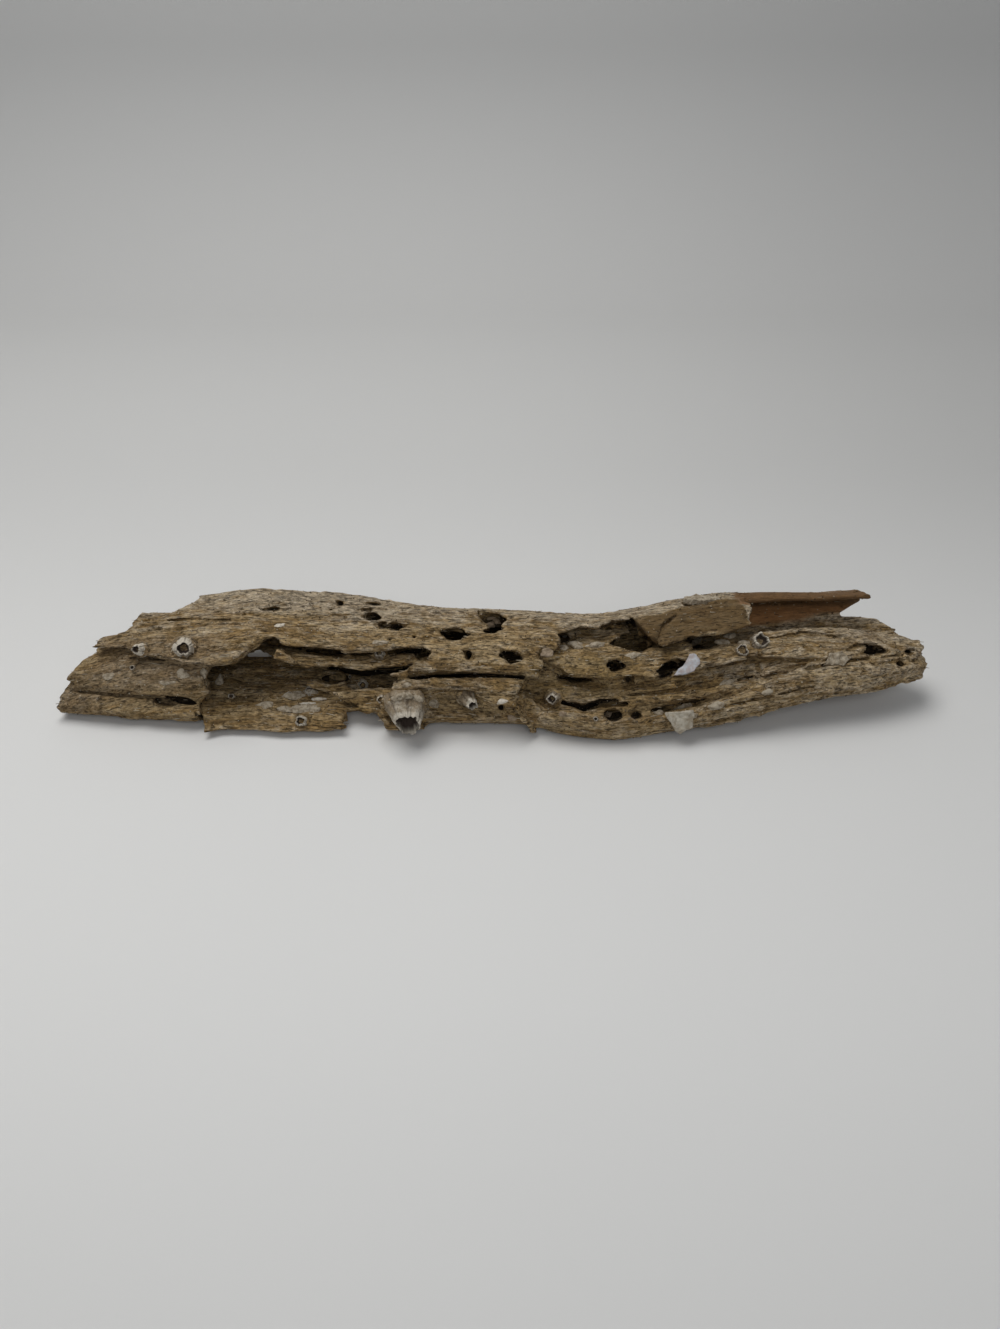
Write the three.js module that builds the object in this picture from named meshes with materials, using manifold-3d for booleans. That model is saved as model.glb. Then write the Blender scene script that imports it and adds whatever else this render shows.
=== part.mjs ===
// A weathered driftwood log, hollowed by shipworm and rot, with barnacles and shell scraps on it.
// Millimetres. +X runs along the grain to the lifted end, +Y is the back, +Z is up.
import * as THREE from 'three';
import { mergeVertices } from 'three/addons/utils/BufferGeometryUtils.js';
import Module from 'manifold-3d';

const wasm = await Module();
wasm.setup();

// Driving dimensions
const LOG_RINGS = 32;
const LOG_SIDES = 26;
const CORE_RINGS = 18;
const CORE_SIDES = 18;
const HOLLOW_RINGS = 16;
const HOLLOW_SIDES = 14;
const FLOOR_RINGS = 8;
const FLOOR_SIDES = 14;
const SECTION_POWER = 0.92;
const LEDGE_DEPTHS = { shallow: 5, plate: 7, deep: 10 };
const REACH = 260;

// Worn grain: how high its ridges stand, how many go round the log, and how far along the log
// their place drifts by one radian.
const RIDGES = [
  { height: 1.1, count: 7, drift: 90 },
  { height: 0.66, count: 11, drift: -29 },
];
const WANDER = [
  { turn: 0.5, length: 37 },
  { turn: 0.3, length: 17 },
];

// Ledges and cracks are laid out on a slanted drawing plane: X along the log, and rise up the
// slope, which leans back from the vertical by LEAN.
const LEAN = THREE.MathUtils.degToRad(35);
const SLOPE_UP = new THREE.Vector3(0, Math.sin(LEAN), Math.cos(LEAN));
const SLOPE_OUT = new THREE.Vector3(0, -Math.cos(LEAN), Math.sin(LEAN));

const WOOD = { color: 0x776651, roughness: 0.9, metalness: 0 };
const SHELL = { color: 0xb6ab98, roughness: 0.75, metalness: 0 };
const PEARL = { color: 0xb4b6ba, roughness: 0.4, metalness: 0 };
const CRUST = { color: 0xa3937a, roughness: 0.95, metalness: 0 };

// Each station gives the front, top, back and underside of one cross-section as [y, z].
const LOG = [
  { x: -208, front: [-33, 6], crown: [-8, 24], back: [16, 14], belly: [-6, -1] },
  { x: -185, front: [-36, 6], crown: [-2, 34], back: [27, 18], belly: [-4, -1] },
  { x: -160, front: [-39, 5], crown: [5, 38], back: [32, 20], belly: [0, -1] },
  { x: -115, front: [-41, 5], crown: [14, 41], back: [36, 20], belly: [5, -1] },
  { x: -75, front: [-42, 5], crown: [9, 40], back: [32, 20], belly: [4, -1] },
  { x: -30, front: [-42, 5], crown: [-1, 40], back: [24, 20], belly: [0, -1] },
  { x: 10, front: [-42, 5], crown: [-6, 40], back: [20, 20], belly: [-6, -1] },
  { x: 45, front: [-46, 5], crown: [-8, 40], back: [17, 20], belly: [-8, -1] },
  { x: 75, front: [-44, 7], crown: [-2, 41], back: [25, 20], belly: [-6, 1] },
  { x: 105, front: [-38, 10], crown: [6, 41], back: [32, 20], belly: [0, 5] },
  { x: 140, front: [-32, 15], crown: [8, 40], back: [33, 22], belly: [4, 9] },
  { x: 198, front: [-24, 16], crown: [8, 43], back: [31, 25], belly: [6, 14] },
];

// The wood left under the peeled front of the right half, which runs out as the lifted finger.
const CORE = [
  { x: 4, front: [-37, 6], crown: [-6, 32], back: [14, 16], belly: [-6, 0] },
  { x: 45, front: [-47, 5], crown: [-10, 33], back: [16, 15], belly: [-8, -1] },
  { x: 75, front: [-45, 7], crown: [-10, 33], back: [24, 14], belly: [-8, 1] },
  { x: 105, front: [-40, 10], crown: [-10, 32], back: [29, 15], belly: [-8, 5] },
  { x: 140, front: [-33, 15], crown: [-9, 32], back: [28, 17], belly: [-8, 9] },
  { x: 172, front: [-26, 16], crown: [-6, 30], back: [18, 19], belly: [-5, 11] },
  { x: 193, front: [-17, 17], crown: [-5, 26], back: [4, 20], belly: [-4, 13] },
  { x: 199, front: [-12, 18], crown: [-5, 23], back: [0, 19], belly: [-5, 15] },
];

// The thin shelf that is left as the hollow's floor where the front wall is gone.
const FLOOR = [
  { x: -152, front: [-40, 2], crown: [-14, 8], back: [24, 5], belly: [0, -9] },
  { x: -115, front: [-43, 2], crown: [-8, 8], back: [28, 5], belly: [0, -9] },
  { x: -80, front: [-44, 3], crown: [-10, 9], back: [24, 5], belly: [0, -9] },
  { x: -46, front: [-44, 3], crown: [-10, 10], back: [22, 5], belly: [0, -9] },
];

const HOLLOW = [
  { x: -157, front: [-10, 15], crown: [4, 24], back: [16, 15], belly: [2, 10] },
  { x: -128, front: [-24, 14], crown: [9, 34], back: [31, 18], belly: [4, 7] },
  { x: -75, front: [-28, 14], crown: [8, 33], back: [25, 18], belly: [2, 7] },
  { x: -30, front: [-24, 16], crown: [0, 32], back: [17, 18], belly: [-3, 8] },
  { x: 20, front: [-20, 16], crown: [-4, 31], back: [13, 19], belly: [-5, 8] },
  { x: 70, front: [-18, 18], crown: [0, 31], back: [20, 20], belly: [0, 10] },
  { x: 110, front: [-4, 22], crown: [9, 37], back: [29, 22], belly: [11, 14] },
  { x: 145, front: [3, 24], crown: [13, 38], back: [31, 24], belly: [17, 15] },
  { x: 206, front: [6, 25], crown: [14, 41], back: [29, 27], belly: [17, 18] },
];

// Outlines on the slanted plane, as [x, rise].
const LEFT_BREAK = [[-202, -16], [-205, -8], [-199, 2], [-194, 11], [-188, 15], [-184, 22],
  [-172, 25], [-170, 34], [-156, 34], [-144, 41], [-143, 60], [-240, 60], [-240, -40], [-202, -40]];
const BACK_WALL_BREAK = [[172, 60], [173, 46], [177, 42], [169, 36], [171, 34], [186, 33],
  [195, 27], [188, 22], [188, -40], [240, -40], [240, 60]];
const PEELED_FRONT = [[19, 14], [27, 17], [28, 24], [36, 27], [45, 26], [62, 31], [65, 21],
  [69, 17], [87, 22], [103, 24], [116, 28], [118, 40], [118, 70], [240, 70], [240, -60],
  [16, -60], [16, -22], [14, -16], [9, -8], [8, -2], [11, 3], [16, 4], [18, 8]];
const WINDOW = [[-134, 4], [-133, 9], [-122, 10], [-113, 16], [-107, 21], [-99, 20], [-102, 13],
  [-91, 10], [-80, 6], [-82, 1], [-71, -6], [-60, -12], [-60, -40], [-137, -40], [-137, -7],
  [-133, -2]];
const FRONT_NOTCH = [[-71, -40], [-71, -18], [-72, -13], [-60, -13], [-53, -14], [-51, -40]];
const LEFT_PLATE = [[-210, 18], [-184, 17], [-171, 17], [-158, 13], [-134, 9], [-133, -2],
  [-137, -7], [-137, -40], [-210, -40]];
const FRONT_ROLL = [[-190, 0], [-160, -4], [-137, -6], [-137, -40], [-210, -40], [-210, -2]];
const MIDDLE_LAYER = [[-101, 19], [-86, 18], [-69, 16], [-50, 17], [-33, 16], [-32, 12],
  [-44, 6], [-69, 6], [-91, 9]];
const INNER_PLATE = [[-91, 9], [-69, 6], [-44, 5], [-52, -5], [-54, -14], [-60, -13], [-71, -6],
  [-82, 1]];
const LENS_RECESS = [[-36, -2], [-28, -1], [-12, -2], [-7, -7], [7, -10], [13, -18], [11, -30],
  [-30, -30], [-38, -12]];
const RIGHT_STEP = [[19, 11], [26, 9], [31, 4], [44, 3], [60, 5], [74, 4], [88, 8], [118, 14],
  [118, -2], [86, -8], [70, -14], [40, -13], [20, -10], [12, -2], [12, 3]];
const FLAP_GAP = [[56, 20], [60, 24], [64, 27], [67, 22], [72, 18], [78, 18], [66, 16], [58, 16]];
const FLAP_GAP_RIGHT = [[85, 21], [91, 22], [99, 23], [102, 20], [96, 17], [88, 17]];

// Cracks and grooves: a path on the slanted plane with a width, cut square to the plane.
const CRACKS = [
  { path: [[-98, 18], [-86, 16], [-71, 15]], width: 3.2, depth: 12 },
  { path: [[-92, 8], [-77, 7], [-62, 6], [-50, 6], [-40, 10]], width: 3.4, depth: 12 },
  { path: [[-51, 16], [-43, 17]], width: 2, depth: 9 },
  { path: [[-50, 1], [-40, 4], [-22, 5], [0, 5], [15, 4]], width: 2, depth: 8 },
  { path: [[-159, -6], [-148, -8]], width: 2.4, depth: 8 },
  { path: [[28, 5], [34, 3], [43, 3]], width: 2, depth: 7 },
  { path: [[26, -6], [36, -9], [44, -9], [57, -7]], width: 3, depth: 7 },
  { path: [[68, -11], [86, -8], [104, -3], [122, 4], [138, 9]], width: 3.4, depth: 4 },
];
const CRACK_STEPS = 10;
const CRACK_TAPER = 0.35;

// Shipworm bores and rot pits, each an ellipse on the plane with its own turn in degrees.
const BORES = [
  { at: [-36, 15], size: [6, 5], turn: 30, depth: 12 },
  { at: [-62, 32], size: [7, 4], turn: 0, depth: 9 },
  { at: [-54, 28], size: [6, 4], turn: 0, depth: 9 },
  { at: [-21, 24], size: [10, 5], turn: 8, depth: 9 },
  { at: [-5, 31], size: [11, 8], turn: 0, depth: 6 },
  { at: [-15, 14], size: [4, 4], turn: 0, depth: 7 },
  { at: [5, 13], size: [8, 5], turn: 20, depth: 9 },
  { at: [52, 9], size: [6, 5], turn: 0, depth: 10 },
  { at: [77, 9], size: [13, 6], turn: 22, depth: 9 },
  { at: [63, -14], size: [5, 4], turn: 0, depth: 6 },
  { at: [50, -12], size: [6, 4], turn: 0, depth: 6 },
  { at: [32, 22], size: [7, 6], turn: 0, depth: 7 },
  { at: [173, 17], size: [11, 5], turn: 6, depth: 9 },
  { at: [184, 10], size: [4, 3], turn: 0, depth: 6 },
  { at: [190, 16], size: [4, 3], turn: 0, depth: 6 },
  { at: [-79, 3], size: [9, 5], turn: 0, depth: 9 },
];
const BORE_SIDES = 10;

// Barnacles: where each sits on the plane, its width and height, and the way its mouth faces.
const BARNACLES = [
  { name: 'barnacle_tongue_left', at: [-163, 17], width: 7.6, height: 4, faces: [-0.1, -0.6, 0.8] },
  { name: 'barnacle_tongue_right', at: [-143, 18], width: 11, height: 5, faces: [0.1, -0.6, 0.8] },
  { name: 'barnacle_rim', at: [-90, -16], width: 6.8, height: 3, faces: [0, -0.7, 0.7] },
  { name: 'barnacle_floor', at: [-89, -3], width: 6, height: 3, faces: [0, -0.4, 0.9] },
  { name: 'barnacle_layer', at: [-55, 15], width: 7, height: 3.5, faces: [0, -0.7, 0.7] },
  { name: 'barnacle_plate_upper', at: [-65, 0], width: 6.4, height: 3.5, faces: [0.1, -0.8, 0.6] },
  { name: 'barnacle_plate_lower', at: [-54, -6], width: 5.4, height: 3, faces: [0, -0.9, 0.5] },
  { name: 'barnacle_large', at: [-42, -10], width: 19, height: 12, faces: [0.1, -0.93, -0.25] },
  { name: 'barnacle_lens', at: [-15, -5], width: 9, height: 6, faces: [0.3, -0.9, 0.1] },
  { name: 'barnacle_hollow', at: [24, -5], width: 8, height: 4, faces: [-0.2, -0.8, 0.5] },
  { name: 'barnacle_ring_broken', at: [110, 16], width: 6.6, height: 3, faces: [0, -0.6, 0.8] },
  { name: 'barnacle_ring', at: [119, 20], width: 9, height: 4.5, faces: [0.1, -0.6, 0.8] },
];
const BARNACLE_SIDES = 12;
const BARNACLE_PLATES = 6;
const BARNACLE_RIB = 0.07;
const BARNACLE_SINK = 1.2;
// From the rim of the mouth in to its floor, as shares of the radius and the height.
const BARNACLE_MOUTH = [[0.55, 1], [0.42, 0.95], [0.3, 0.3], [0, 0.25]];

// Flat shell scraps and crusts: an outline around the seat, its thickness and how far it stands out.
const SCRAPS = [
  { name: 'shell_pearly', at: [84, 9], thick: 1.6, lift: 0.6, faces: [-0.2, -0.7, 0.7], look: PEARL,
    outline: [[-8, -5], [-2, -5], [4, -3], [7, 2], [5, 6], [1, 7], [-1, 2], [-5, -1]] },
  { name: 'shell_plate_hanging', at: [79, -15], thick: 1.6, lift: 0.6, faces: [0, -0.9, 0.4], look: SHELL,
    outline: [[-7, 4], [8, 5], [7, -4], [1, -7], [-3, -3]] },
  { name: 'crust_rim', at: [-91, -11], thick: 1.4, lift: 0.6, faces: [0, -0.6, 0.8], look: CRUST,
    outline: [[-9, -1], [-2, -2], [8, -2], [9, 1], [4, 3], [-3, 2]] },
  { name: 'crust_finger', at: [152, 12], thick: 1.6, lift: 0.6, faces: [0, -0.7, 0.7], look: CRUST,
    outline: [[-6, -3], [3, -3], [7, 0], [3, 4], [-2, 3]] },
  { name: 'crust_flap', at: [96, 41], thick: 3, lift: 1, faces: [0, 0.2, 1], look: CRUST,
    outline: [[-9, -3], [0, -4], [9, -2], [8, 3], [0, 4], [-8, 3]] },
  { name: 'shell_pebble', at: [21, 15], thick: 3, lift: 1.2, faces: [0, -0.7, 0.7], look: SHELL,
    outline: [[-4, -2], [3, -2], [4, 1], [1, 3], [-3, 2]] },
];

// A socket in the wood is wider than its barnacle or scrap and open above it.
const SOCKET = { gap: 0.3, spread: 1.1, headroom: 2.1 };

const BACK_ARCH = { x: -121, radius: 13, squash: 0.62, from: 12, to: 60, sides: 16 };
const PEEL_FAR_Y = 16;
const GAP_FLOOR = 8;

// One solid from a closed geometry.
function solidOf(geometry) {
  const bare = geometry.index ? geometry.toNonIndexed() : geometry.clone();
  bare.deleteAttribute('normal');
  bare.deleteAttribute('uv');
  const merged = mergeVertices(bare, 1e-4);
  const mesh = new wasm.Mesh({
    numProp: 3,
    vertProperties: new Float32Array(merged.attributes.position.array),
    triVerts: new Uint32Array(merged.index.array),
  });
  return new wasm.Manifold(mesh);
}

function geometryOf(solid) {
  const mesh = solid.getMesh();
  const geometry = new THREE.BufferGeometry();
  geometry.setAttribute('position', new THREE.BufferAttribute(mesh.vertProperties, 3));
  geometry.setIndex(new THREE.BufferAttribute(mesh.triVerts, 1));
  geometry.computeVertexNormals();
  return geometry;
}

// A smooth rail through one named corner of every station.
function rail(stations, corner) {
  const points = stations.map((s) => new THREE.Vector3(s.x, s[corner][0], s[corner][1]));
  return new THREE.CatmullRomCurve3(points, false, 'catmullrom', 0.5);
}

// A point of the cross-section: four quarter ovals between the four rails.
function sectionPoint(corners, angle) {
  const across = Math.cos(angle);
  const up = Math.sin(angle);
  const side = across < 0 ? corners.front : corners.back;
  const cap = up > 0 ? corners.crown : corners.belly;
  const reachY = Math.abs(side.y - cap.y) * Math.abs(across) ** SECTION_POWER;
  const reachZ = Math.abs(cap.z - side.z) * Math.abs(up) ** SECTION_POWER;
  return new THREE.Vector3(side.x, cap.y + Math.sign(across) * reachY, side.z + Math.sign(up) * reachZ);
}

// Long low ridges of worn grain that wander as they run along the log.
function ridge(x, angle) {
  const wander = WANDER.reduce((sum, w) => sum + w.turn * Math.sin(x / w.length), 0);
  return RIDGES.reduce((sum, r) => sum + r.height * Math.sin(r.count * angle + x / r.drift + wander), 0);
}

function loft(stations, rings, sides, ridged) {
  const rails = {};
  for (const corner of ['front', 'crown', 'back', 'belly']) rails[corner] = rail(stations, corner);
  const positions = [];
  for (let i = 0; i <= rings; i += 1) {
    const corners = {};
    for (const corner of Object.keys(rails)) corners[corner] = rails[corner].getPoint(i / rings);
    const middle = new THREE.Vector3(corners.crown.x, corners.crown.y, corners.front.z);
    for (let j = 0; j < sides; j += 1) {
      const angle = ((j + 0.5) / sides) * 2 * Math.PI;
      const point = sectionPoint(corners, angle);
      const out = point.clone().sub(middle).normalize();
      if (ridged) point.addScaledVector(out, ridge(point.x, angle));
      positions.push(...point.toArray());
    }
  }
  return solidOf(skin(positions, rings, sides));
}

// Triangles between the rings, with a fan over each end.
function skin(positions, rings, sides) {
  const faces = [];
  const ends = [0, rings].map((ring) => {
    const centre = new THREE.Vector3();
    for (let j = 0; j < sides; j += 1) {
      centre.add(new THREE.Vector3().fromArray(positions, (ring * sides + j) * 3));
    }
    positions.push(...centre.divideScalar(sides).toArray());
    return positions.length / 3 - 1;
  });
  for (let j = 0; j < sides; j += 1) {
    const next = (j + 1) % sides;
    faces.push(ends[0], next, j);
    faces.push(ends[1], rings * sides + j, rings * sides + next);
    for (let i = 0; i < rings; i += 1) {
      const a = i * sides;
      const b = a + sides;
      faces.push(a + j, a + next, b + j);
      faces.push(a + next, b + next, b + j);
    }
  }
  const geometry = new THREE.BufferGeometry();
  geometry.setAttribute('position', new THREE.Float32BufferAttribute(positions, 3));
  geometry.setIndex(faces);
  return geometry;
}

// The turn that lays a drawing on the slanted plane, with its thickness along the plane's normal.
function planeMatrix(offset) {
  const matrix = new THREE.Matrix4().makeBasis(new THREE.Vector3(1, 0, 0), SLOPE_UP, SLOPE_OUT);
  return matrix.setPosition(SLOPE_OUT.clone().multiplyScalar(offset));
}

function slopePrism(outline, near, far) {
  const shape = new THREE.Shape(outline.map(([x, rise]) => new THREE.Vector2(x, rise)));
  const geometry = new THREE.ExtrudeGeometry(shape, { depth: near - far, bevelEnabled: false });
  return solidOf(geometry.applyMatrix4(planeMatrix(far)));
}

function block(lowX, highX, lowY, highY, lowZ, highZ) {
  const geometry = new THREE.BoxGeometry(highX - lowX, highY - lowY, highZ - lowZ);
  geometry.translate((lowX + highX) / 2, (lowY + highY) / 2, (lowZ + highZ) / 2);
  return solidOf(geometry);
}

// The log's stations with their surface moved in by a depth.
function inset(stations, depth) {
  return stations.map((s) => ({
    x: s.x,
    front: [s.front[0] + depth, s.front[1]],
    crown: [s.crown[0], s.crown[1] - depth],
    back: [s.back[0] - depth, s.back[1]],
    belly: [s.belly[0], s.belly[1]],
  }));
}

// Peels one layer of the log off inside an outline, down to a depth.
function peel(outline, depth) {
  const kept = loft(inset(LOG, depth), LOG_RINGS, LOG_SIDES, true);
  return slopePrism(outline, REACH, 0).subtract(kept);
}

// Where a ray square to the slanted plane first meets the wood.
function landing(surface, [x, rise]) {
  const origin = SLOPE_UP.clone().multiplyScalar(rise).addScaledVector(SLOPE_OUT, REACH);
  origin.x += x;
  const caster = new THREE.Raycaster(origin, SLOPE_OUT.clone().negate(), 0, 2 * REACH);
  const hit = caster.intersectObject(surface)[0];
  if (!hit) throw new Error(`nothing carries the piece at ${x}, ${rise}`);
  return hit.point;
}

// A slot along a path, wide in the middle and narrow at its ends, from above the wood to its depth.
function crackCutter(surface, { path, width, depth }) {
  const curve = new THREE.SplineCurve(path.map(([x, rise]) => new THREE.Vector2(x, rise)));
  const upper = [];
  const lower = [];
  for (let i = 0; i <= CRACK_STEPS; i += 1) {
    const t = i / CRACK_STEPS;
    const half = (width / 2) * (CRACK_TAPER + (1 - CRACK_TAPER) * Math.sin(Math.PI * t));
    const point = curve.getPoint(t);
    upper.push([point.x, point.y + half]);
    lower.unshift([point.x, point.y - half]);
  }
  const middle = curve.getPoint(0.5);
  const level = landing(surface, [middle.x, middle.y]).dot(SLOPE_OUT);
  return slopePrism([...lower, ...upper].reverse(), level + 2 * depth, level - depth);
}

function boreCutter(surface, { at, size, turn, depth }) {
  const shape = new THREE.Shape();
  const tilt = THREE.MathUtils.degToRad(turn);
  shape.absellipse(at[0], at[1], size[0] / 2, size[1] / 2, 0, 2 * Math.PI, false, tilt);
  const outline = shape.getSpacedPoints(BORE_SIDES).slice(0, BORE_SIDES).map((p) => [p.x, p.y]);
  const level = landing(surface, at).dot(SLOPE_OUT);
  return slopePrism(outline, level + depth, level - depth);
}

function archCutter() {
  const { x, radius, squash, from, to, sides } = BACK_ARCH;
  const geometry = new THREE.CylinderGeometry(radius, radius, to - from, sides);
  geometry.scale(1, 1, squash);
  return solidOf(geometry.translate(x, (from + to) / 2, 0));
}

function bareWood() {
  const peeledFront = slopePrism(PEELED_FRONT, REACH, -REACH)
    .intersect(block(-REACH, REACH, -REACH, PEEL_FAR_Y, -REACH, REACH));
  const window = slopePrism(WINDOW, REACH, 0).subtract(loft(FLOOR, FLOOR_RINGS, FLOOR_SIDES, true));
  let wood = loft(LOG, LOG_RINGS, LOG_SIDES, true)
    .subtract(slopePrism(BACK_WALL_BREAK, REACH, -REACH))
    .subtract(peel(LEFT_PLATE, LEDGE_DEPTHS.shallow))
    .subtract(peel(FRONT_ROLL, LEDGE_DEPTHS.plate))
    .subtract(peel(MIDDLE_LAYER, LEDGE_DEPTHS.plate))
    .subtract(peel(INNER_PLATE, LEDGE_DEPTHS.deep))
    .subtract(peel(LENS_RECESS, LEDGE_DEPTHS.shallow))
    .subtract(peeledFront)
    .add(steppedCore());
  for (const cutter of [window, loft(HOLLOW, HOLLOW_RINGS, HOLLOW_SIDES, false),
    slopePrism(LEFT_BREAK, REACH, -REACH), slopePrism(FRONT_NOTCH, REACH, -REACH),
    slopePrism(FLAP_GAP, REACH, GAP_FLOOR), slopePrism(FLAP_GAP_RIGHT, REACH, GAP_FLOOR), archCutter()]) {
    wood = wood.subtract(cutter);
  }
  return wood.subtract(block(-REACH, REACH, -REACH, REACH, -REACH, 0));
}

// The core with one more layer gone below its upper plate.
function steppedCore() {
  const lower = loft(inset(CORE, LEDGE_DEPTHS.plate), CORE_RINGS, CORE_SIDES, true);
  const step = slopePrism(RIGHT_STEP, REACH, 0).subtract(lower);
  return loft(CORE, CORE_RINGS, CORE_SIDES, true).subtract(step);
}

// Keeps the largest joined set of triangles, without the splinters that the cuts have left loose.
function largestShell(geometry) {
  const corners = geometry.index.array;
  const parent = Array.from({ length: geometry.attributes.position.count }, (_, vertex) => vertex);
  const rootOf = (vertex) => {
    let root = vertex;
    while (parent[root] !== root) {
      parent[root] = parent[parent[root]];
      root = parent[root];
    }
    return root;
  };
  for (let i = 0; i < corners.length; i += 3) {
    parent[rootOf(corners[i + 1])] = rootOf(corners[i]);
    parent[rootOf(corners[i + 2])] = rootOf(corners[i]);
  }
  const shells = new Map();
  for (let i = 0; i < corners.length; i += 3) {
    const root = rootOf(corners[i]);
    if (!shells.has(root)) shells.set(root, []);
    shells.get(root).push(corners[i], corners[i + 1], corners[i + 2]);
  }
  const largest = [...shells.values()].reduce((best, next) => (next.length > best.length ? next : best));
  geometry.setIndex(largest);
  return geometry;
}

function seatMatrix(point, faces) {
  const up = new THREE.Vector3(...faces).normalize();
  const along = new THREE.Vector3(1, 0, 0).addScaledVector(up, -up.x).normalize();
  const across = new THREE.Vector3().crossVectors(up, along);
  return new THREE.Matrix4().makeBasis(along, across, up).setPosition(point);
}

// A cone of six ribbed plates with a mouth, turned from a profile that starts and ends on its axis.
function barnacleGeometry({ width, height }) {
  const radius = width / 2;
  const mouth = BARNACLE_MOUTH.map(([r, z]) => new THREE.Vector2(r * radius, z * height));
  const base = [new THREE.Vector2(0, -BARNACLE_SINK), new THREE.Vector2(radius, -BARNACLE_SINK)];
  const geometry = new THREE.LatheGeometry([...base, ...mouth], BARNACLE_SIDES).rotateX(Math.PI / 2);
  const position = geometry.attributes.position;
  for (let i = 0; i < position.count; i += 1) {
    const angle = Math.atan2(position.getY(i), position.getX(i));
    const rib = 1 - BARNACLE_RIB * (1 - Math.cos(BARNACLE_PLATES * angle));
    position.setXY(i, position.getX(i) * rib, position.getY(i) * rib);
  }
  return geometry;
}

function barnacleSocket({ width, height }) {
  const radius = width / 2 + SOCKET.gap;
  const low = -BARNACLE_SINK - SOCKET.gap;
  const high = height + SOCKET.headroom;
  const profile = [[0, low], [radius, low], [radius, high], [0, high]];
  const points = profile.map(([r, z]) => new THREE.Vector2(r, z));
  return new THREE.LatheGeometry(points, BARNACLE_SIDES).rotateX(Math.PI / 2);
}

// A flat prism on the seat, from low to high along the way it faces.
function scrapPrism(outline, spread, low, high) {
  const shape = new THREE.Shape(outline.map(([x, y]) => new THREE.Vector2(x * spread, y * spread)));
  const geometry = new THREE.ExtrudeGeometry(shape, { depth: high - low, bevelEnabled: false });
  return geometry.translate(0, 0, low);
}

function scrapGeometry({ outline, thick, lift }) {
  return scrapPrism(outline, 1, lift - thick, lift);
}

function scrapSocket({ outline, thick, lift }) {
  return scrapPrism(outline, SOCKET.spread, lift - thick - SOCKET.gap, lift + SOCKET.headroom);
}

function meshOf(name, solid, look) {
  const mesh = new THREE.Mesh(largestShell(geometryOf(solid)), new THREE.MeshStandardMaterial(look));
  mesh.name = name;
  return mesh;
}

// The wood with its cracks and bores, a socket for each piece on it, and the pieces themselves.
function assemble() {
  let wood = bareWood();
  const bare = meshOf('bare', wood, WOOD);
  for (const crack of CRACKS) wood = wood.subtract(crackCutter(bare, crack));
  for (const bore of BORES) wood = wood.subtract(boreCutter(bare, bore));
  const worn = meshOf('worn', wood, WOOD);
  const floor = block(-REACH, REACH, -REACH, REACH, -REACH, SOCKET.gap);
  const riders = [
    ...BARNACLES.map((b) => ({ ...b, look: SHELL, shape: barnacleGeometry, socket: barnacleSocket })),
    ...SCRAPS.map((s) => ({ ...s, shape: scrapGeometry, socket: scrapSocket })),
  ];
  const pieces = [];
  for (const rider of riders) {
    const seat = seatMatrix(landing(worn, rider.at), rider.faces);
    wood = wood.subtract(solidOf(rider.socket(rider).applyMatrix4(seat)));
    const solid = solidOf(rider.shape(rider).applyMatrix4(seat)).subtract(floor);
    pieces.push(meshOf(rider.name, solid, rider.look));
  }
  return [meshOf('driftwood', wood, WOOD), ...pieces];
}

function centred(meshes) {
  const group = new THREE.Group();
  group.add(...meshes);
  const box = new THREE.Box3().setFromObject(group);
  const middle = box.getCenter(new THREE.Vector3());
  group.position.set(-middle.x, -middle.y, -box.min.z);
  group.updateMatrixWorld(true);
  return group;
}

export default centred(assemble());
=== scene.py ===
"""A weathered, hollow driftwood log with barnacles, shell scraps and crusts on it."""

import logging
import math
from dataclasses import dataclass, field
from enum import Enum

import bpy
import bmesh
import numpy as np
from mathutils import Matrix, Vector
from mathutils.bvhtree import BVHTree


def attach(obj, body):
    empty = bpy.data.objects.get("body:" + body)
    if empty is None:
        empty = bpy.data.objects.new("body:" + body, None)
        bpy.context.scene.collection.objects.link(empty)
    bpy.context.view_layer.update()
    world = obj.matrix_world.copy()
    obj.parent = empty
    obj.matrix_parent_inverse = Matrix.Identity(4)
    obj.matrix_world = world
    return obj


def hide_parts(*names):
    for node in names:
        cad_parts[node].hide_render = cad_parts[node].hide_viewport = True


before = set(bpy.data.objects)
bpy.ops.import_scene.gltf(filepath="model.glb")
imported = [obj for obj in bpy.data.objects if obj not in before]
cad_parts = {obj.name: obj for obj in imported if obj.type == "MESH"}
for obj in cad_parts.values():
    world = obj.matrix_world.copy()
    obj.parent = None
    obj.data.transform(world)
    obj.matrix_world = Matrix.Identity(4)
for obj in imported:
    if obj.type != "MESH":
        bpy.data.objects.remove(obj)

logging.basicConfig(level=logging.INFO, format="%(message)s")
LOG = logging.getLogger("driftwood")

MM = 0.001

FINE_STEPS = (0.65, 1.3)
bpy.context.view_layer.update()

# Places on the log are given in mm on a drawing plane that leans back: x along the log, rise up the slope.
LEAN = math.radians(35)
SLOPE_UP = np.array([0.0, math.sin(LEAN), math.cos(LEAN)])
SLOPE_OUT = np.array([0.0, -math.cos(LEAN), math.sin(LEAN)])
# The drawing's own zero lies here in the frame, in mm.
DRAWING_ZERO = np.array([3.0, 8.63, 0.0])

# A level or distance where nothing is met, and a distance where a cutter or a plate is far away.
NOTHING = -99.0
FAR = 99.0

Point = tuple[float, float]
Triple = tuple[float, float, float]
Colour = tuple[float, float, float]


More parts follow.
